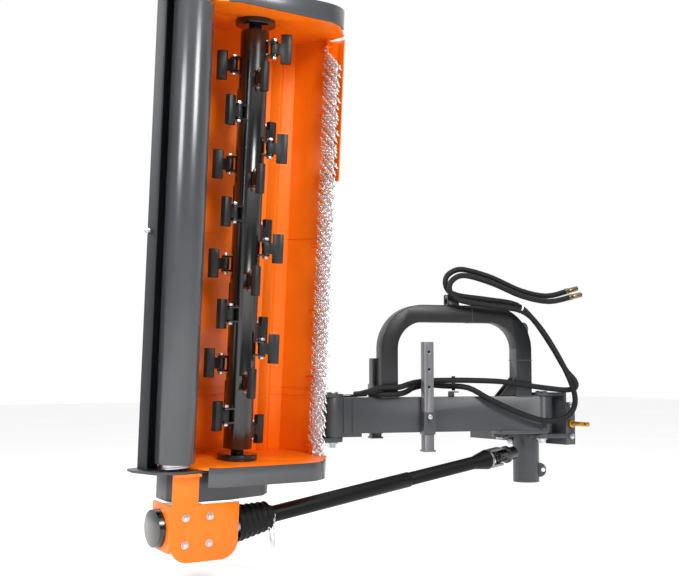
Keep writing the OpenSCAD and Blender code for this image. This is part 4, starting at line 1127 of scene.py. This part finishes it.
@dataclass
class Fittings:
    """Small pieces: straps round the hoses, oil pipe of the arm, collars of the roller, nut of the scraper.

    Places are in millimetres of the arm or the head, sizes in metres.

    Args:
        shop: Modelling moves.
        tie: Place of the white tie on the arm.
        tie_line: Two points of the hoses at the tie.
        tie_size: Half width, half height and breadth of the tie.
        strap: Place of the dark strap on the arm.
        strap_line: Two points of the hoses at the strap.
        strap_size: Half width, half height and breadth of the strap.
        pipe_route: Route of the oil pipe on the arm.
        pipe_steps: Pieces of the pipe between two points of its route.
        pipe_radius: Radius of the oil pipe.
        collar_rings: Radius and height of each ring of a collar.
        collar_ends: Name and place along the rotor of each collar.
        roller_axis: Roller's axis in the head, forward and up.
        nut: Seat of the scraper's nut in the head.
        nut_size: Radius and height of the nut.
    """

    shop: Workshop
    tie: Point = (146, 77, 544)
    tie_line: tuple[Point, Point] = ((150, 0, 555), (300, 0, 590))
    tie_size: Point = (0.034, 0.018, 0.007)
    strap: Point = (462, 22, 192)
    strap_line: tuple[Point, Point] = ((420, 36, 0), (500, 0, 0))
    strap_size: Point = (0.024, 0.032, 0.016)
    pipe_route: tuple[Point, ...] = ((880, 8, 141), (930, -4, 138), (1000, -8, 137), (1012, -8, 137))
    pipe_steps: int = 5
    pipe_radius: float = 0.0065
    collar_rings: tuple[tuple[float, float], ...] = (
        (0.0305, 0.0), (0.062, 0.0), (0.062, 0.005), (0.058, 0.007), (0.058, 0.0155), (0.0305, 0.0155),
    )
    collar_ends: tuple[tuple[str, float], ...] = (("inner_collar", 1.0), ("outer_collar", 1733.0))
    roller_axis: tuple[float, float] = (-330, -115.5)
    nut: Point = (875, -448, -70)
    nut_size: tuple[float, float] = (0.013, 0.012)

    def on_arm(self, spot: Point, line: tuple[Point, Point]) -> Matrix:
        """Return the frame at a spot of the arm, Z along a line of the arm."""
        start, end = (Vector(PLACE.arm(*p)) for p in line)
        return self.shop.facing(Vector(PLACE.arm(*spot)), end - start)

    def straps(self) -> None:
        """Strap the hoses together at the bow and behind the near leg."""
        tie = self.on_arm(self.tie, self.tie_line)
        self.shop.band("white_tie", tie, self.tie_size, NYLON, "arm")
        strap = self.on_arm(self.strap, self.strap_line)
        self.shop.band("hose_strap", strap, self.strap_size, RUBBER, "arm")

    def pipe(self) -> None:
        """Lay the oil pipe along the arm's top edge."""
        line = spread([PLACE.arm(*p) for p in self.pipe_route], self.pipe_steps)
        pipe = self.shop.meshed(self.shop.tube("oil_pipe", line, self.pipe_radius))
        self.shop.dress(pipe, "oil_pipe", BLACK, "arm", self.shop.TUBE_SMOOTH)

    def collars(self) -> None:
        """Turn the stepped zinc collar at each end of the roller."""
        along = Vector(PLACE.head(1, 0, 0)) - Vector(PLACE.head(0, 0, 0))
        for name, u in self.collar_ends:
            collar = self.shop.turned(list(self.collar_rings))
            self.shop.lay(collar, self.shop.facing(Vector(PLACE.head(u, *self.roller_axis)), along))
            self.shop.dress(collar, f"roller_{name}", ZINC, "roller")

    def build(self) -> None:
        """Add the straps, the pipe, the collars and the nut."""
        self.straps()
        self.pipe()
        self.collars()
        u, v, w = self.nut
        seat = Vector(PLACE.head(u, v, w))
        back = Vector(PLACE.head(u, v - 1, w)) - seat
        self.shop.bolt("scraper_nut", self.shop.facing(seat, back), self.nut_size, "head")


@dataclass
class Welds:
    """Weld beads of the arm, bow and head.

    Places are in millimetres of the arm or the head, radii of beads in metres.

    Args:
        shop: Modelling moves.
        feet: Name and place along the arm of each foot of the bow.
        foot_half: Half width of the bead round a foot.
        foot_z: Height of that bead.
        foot_bead: Its radius.
        arm_seams: Places of the beads across the arm's seen side.
        arm_side: Distance of that side from the arm's middle.
        arm_ends: Lower and upper end of those beads.
        arm_bead: Their radius.
        deck_seams: Places of the deck's seams along the rotor.
        deck_line: Corners of a seam, forward and up.
        deck_bead: Its radius.
        bow_half: Half width of the seams round the bow's tube.
        bar_seam: Place along the arm and height of the seam round the bow's bar.
        bar_bead: Its radius.
        leg_seam: Place along the arm and height of the seam round the bow's leg.
        leg_bead: Its radius.
    """

    shop: Workshop
    feet: tuple[tuple[str, float], ...] = (("near", 108), ("far", 780))
    foot_half: float = 41
    foot_z: float = 131
    foot_bead: float = 0.004
    arm_seams: tuple[int, ...] = (958, 1000)
    arm_side: float = 40.5
    arm_ends: tuple[float, float] = (-29, 129)
    arm_bead: float = 0.0035
    deck_seams: tuple[int, ...] = (236, 268, 905)
    deck_line: tuple[tuple[float, float], ...] = ((-160, 213.5), (326, 213.5), (388, 70))
    deck_bead: float = 0.0025
    bow_half: float = 40.5
    bar_seam: tuple[float, float] = (372, 515)
    bar_bead: float = 0.0016
    leg_seam: tuple[float, float] = (108, 300)
    leg_bead: float = 0.0022

    def level(self, x: float, half: float, z: float) -> list[Point]:
        """Return a level square about a place of the arm."""
        return [PLACE.arm(x + a * half, b * half, z) for a, b in SQUARE]

    def build(self) -> None:
        """Lay the beads that the photograph shows."""
        for name, x in self.feet:
            ring = self.level(x, self.foot_half, self.foot_z)
            self.shop.weld(f"bow_weld_{name}", ring, self.foot_bead, GREY, "arm")
        for x in self.arm_seams:
            ends = [PLACE.arm(x, self.arm_side, z) for z in self.arm_ends]
            self.shop.weld(f"arm_weld_{x}", ends, self.arm_bead, GREY, "arm")
        for u in self.deck_seams:
            seam = [PLACE.head(u, v, w) for v, w in self.deck_line]
            self.shop.weld(f"deck_seam_{u}", seam, self.deck_bead, ORANGE, "head")
        x, z = self.bar_seam
        bar = [PLACE.arm(x, a * self.bow_half, z + b * self.bow_half) for a, b in SQUARE]
        self.shop.weld("bow_bar_seam", bar, self.bar_bead, GREY, "arm")
        x, z = self.leg_seam
        self.shop.weld("bow_leg_seam", self.level(x, self.bow_half, z), self.leg_bead, GREY, "arm")


@dataclass(frozen=True)
class Lamp:
    """One soft area light.

    Args:
        name: Name of the light.
        spot: Its place.
        aim: Point it faces.
        size: Edge length in metres.
        watts: Its power.
    """

    name: str
    spot: Point
    aim: Point
    size: float
    watts: float

    def build(self) -> None:
        """Hang the light at its place."""
        light = bpy.data.lights.new(self.name, "AREA")
        light.size = self.size
        light.energy = self.watts
        obj = bpy.data.objects.new(self.name, light)
        obj.location = self.spot
        obj.rotation_euler = (Vector(self.aim) - Vector(self.spot)).to_track_quat("-Z", "Y").to_euler()
        bpy.context.scene.collection.objects.link(obj)


@dataclass
class Studio:
    """Camera at the photograph's angle, floor and soft light.

    Args:
        shop: Modelling moves.
        eye: Place of the camera.
        azimuth: Turn of the view in degrees.
        pitch: Upward tilt of the view in degrees.
        lens: Focal length in millimetres.
        sensor: Width of the sensor in millimetres.
        reach: How far the camera sees, in metres.
        ground: Height of the floor.
        floor_size: Edge length of the floor in metres.
        wall_way: Direction in which the room is brightest.
        wall_range: Share of that direction between which the wall goes from dim to bright.
        roof_range: Height between which the roof goes from dim to bright.
        dim: Light of the dim side.
        wall_light: Light of the bright wall.
        roof_light: Light of the bright roof.
        lamps: Area lights.
    """

    shop: Workshop
    eye: Point = (3.95, -3.826, 0.259)
    azimuth: float = 55.4
    pitch: float = 4.31
    lens: float = 56.9
    sensor: float = 36
    reach: float = 100
    ground: float = -0.545
    floor_size: float = 40
    wall_way: Point = (-0.82, 0.57, 0.0)
    wall_range: tuple[float, float] = (-0.1, 0.5)
    roof_range: tuple[float, float] = (0.35, 0.8)
    dim: float = 0.22
    wall_light: float = 1.0
    roof_light: float = 1.3
    lamps: tuple[Lamp, ...] = (
        Lamp("key", (5.0, -1.4, 3.0), (0.1, -1.5, 0.6), 1.6, 190),
        Lamp("fill", (2.0, -5.6, 2.4), (0.2, -1.5, 0.5), 1.4, 110),
        Lamp("rim", (-2.4, -3.6, 2.6), (0.0, -1.6, 0.8), 1.6, 120),
    )

    def camera(self) -> None:
        """Set up the camera."""
        camera = bpy.data.cameras.new("photo_view")
        camera.lens = self.lens
        camera.sensor_width = self.sensor
        camera.clip_end = self.reach
        obj = bpy.data.objects.new("photo_view", camera)
        obj.location = self.eye
        obj.rotation_euler = Euler((math.radians(90 + self.pitch), 0, math.radians(self.azimuth)))
        bpy.context.scene.collection.objects.link(obj)
        bpy.context.scene.camera = obj

    def floor(self) -> None:
        """Lay the pale floor."""
        bpy.ops.object.select_all(action="DESELECT")
        bpy.ops.mesh.primitive_plane_add(size=self.floor_size, location=(0, 0, self.ground))
        floor = bpy.context.active_object
        floor.name = "pale_floor"
        floor.data.materials.append(self.shop.book.get(FLOOR))

    def glow(
        self,
        tree: bpy.types.NodeTree,
        value: bpy.types.NodeSocket,
        limits: tuple[float, float],
        light: float,
    ) -> bpy.types.NodeSocket:
        """Add light that rises from dim with a value.

        Args:
            tree: Node tree that takes it.
            value: What the light rises with.
            limits: Values between which it rises.
            light: Light at the upper value.

        Returns:
            The light.
        """
        rise = add_node(
            tree,
            "ShaderNodeMapRange",
            Value=value,
            From_Min=limits[0],
            From_Max=limits[1],
            To_Min=self.dim,
            To_Max=light,
        )
        return rise.outputs["Result"]

    def room(self) -> None:
        """Light the room from one wall and the roof."""
        world = bpy.data.worlds.new("soft_room")
        world.use_nodes = True
        tree = world.node_tree
        look = add_node(tree, "ShaderNodeTexCoord").outputs["Generated"]
        across = add_node(tree, "ShaderNodeVectorMath", {"operation": "DOT_PRODUCT"}, Vector=look)
        across.inputs[1].default_value = self.wall_way
        height = add_node(tree, "ShaderNodeSeparateXYZ", Vector=look).outputs["Z"]
        brighter = add_node(tree, "ShaderNodeMath", {"operation": "MAXIMUM"})
        wall = self.glow(tree, across.outputs["Value"], self.wall_range, self.wall_light)
        roof = self.glow(tree, height, self.roof_range, self.roof_light)
        tree.links.new(wall, brighter.inputs[0])
        tree.links.new(roof, brighter.inputs[1])
        back = tree.nodes["Background"]
        back.inputs["Color"].default_value = (1.0, 1.0, 1.0, 1.0)
        tree.links.new(brighter.outputs["Value"], back.inputs["Strength"])
        bpy.context.scene.world = world

    def build(self) -> None:
        """Set up camera, floor, room and lamps."""
        self.camera()
        self.floor()
        self.room()
        for lamp in self.lamps:
            lamp.build()
        bpy.context.scene.view_settings.view_transform = "Standard"


def main() -> None:
    """Build the looks in order."""
    logging.basicConfig(level=logging.INFO, format="%(message)s")
    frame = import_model()
    shop = Workshop(frame, MaterialBook())
    for kind in (Studio, Hoses, HardParts, ChainCurtain, Driveline, Belts, Fittings, Welds):
        LOG.info("building %s", kind.__name__)
        kind(shop).build()


if __name__ == "__main__":
    main()
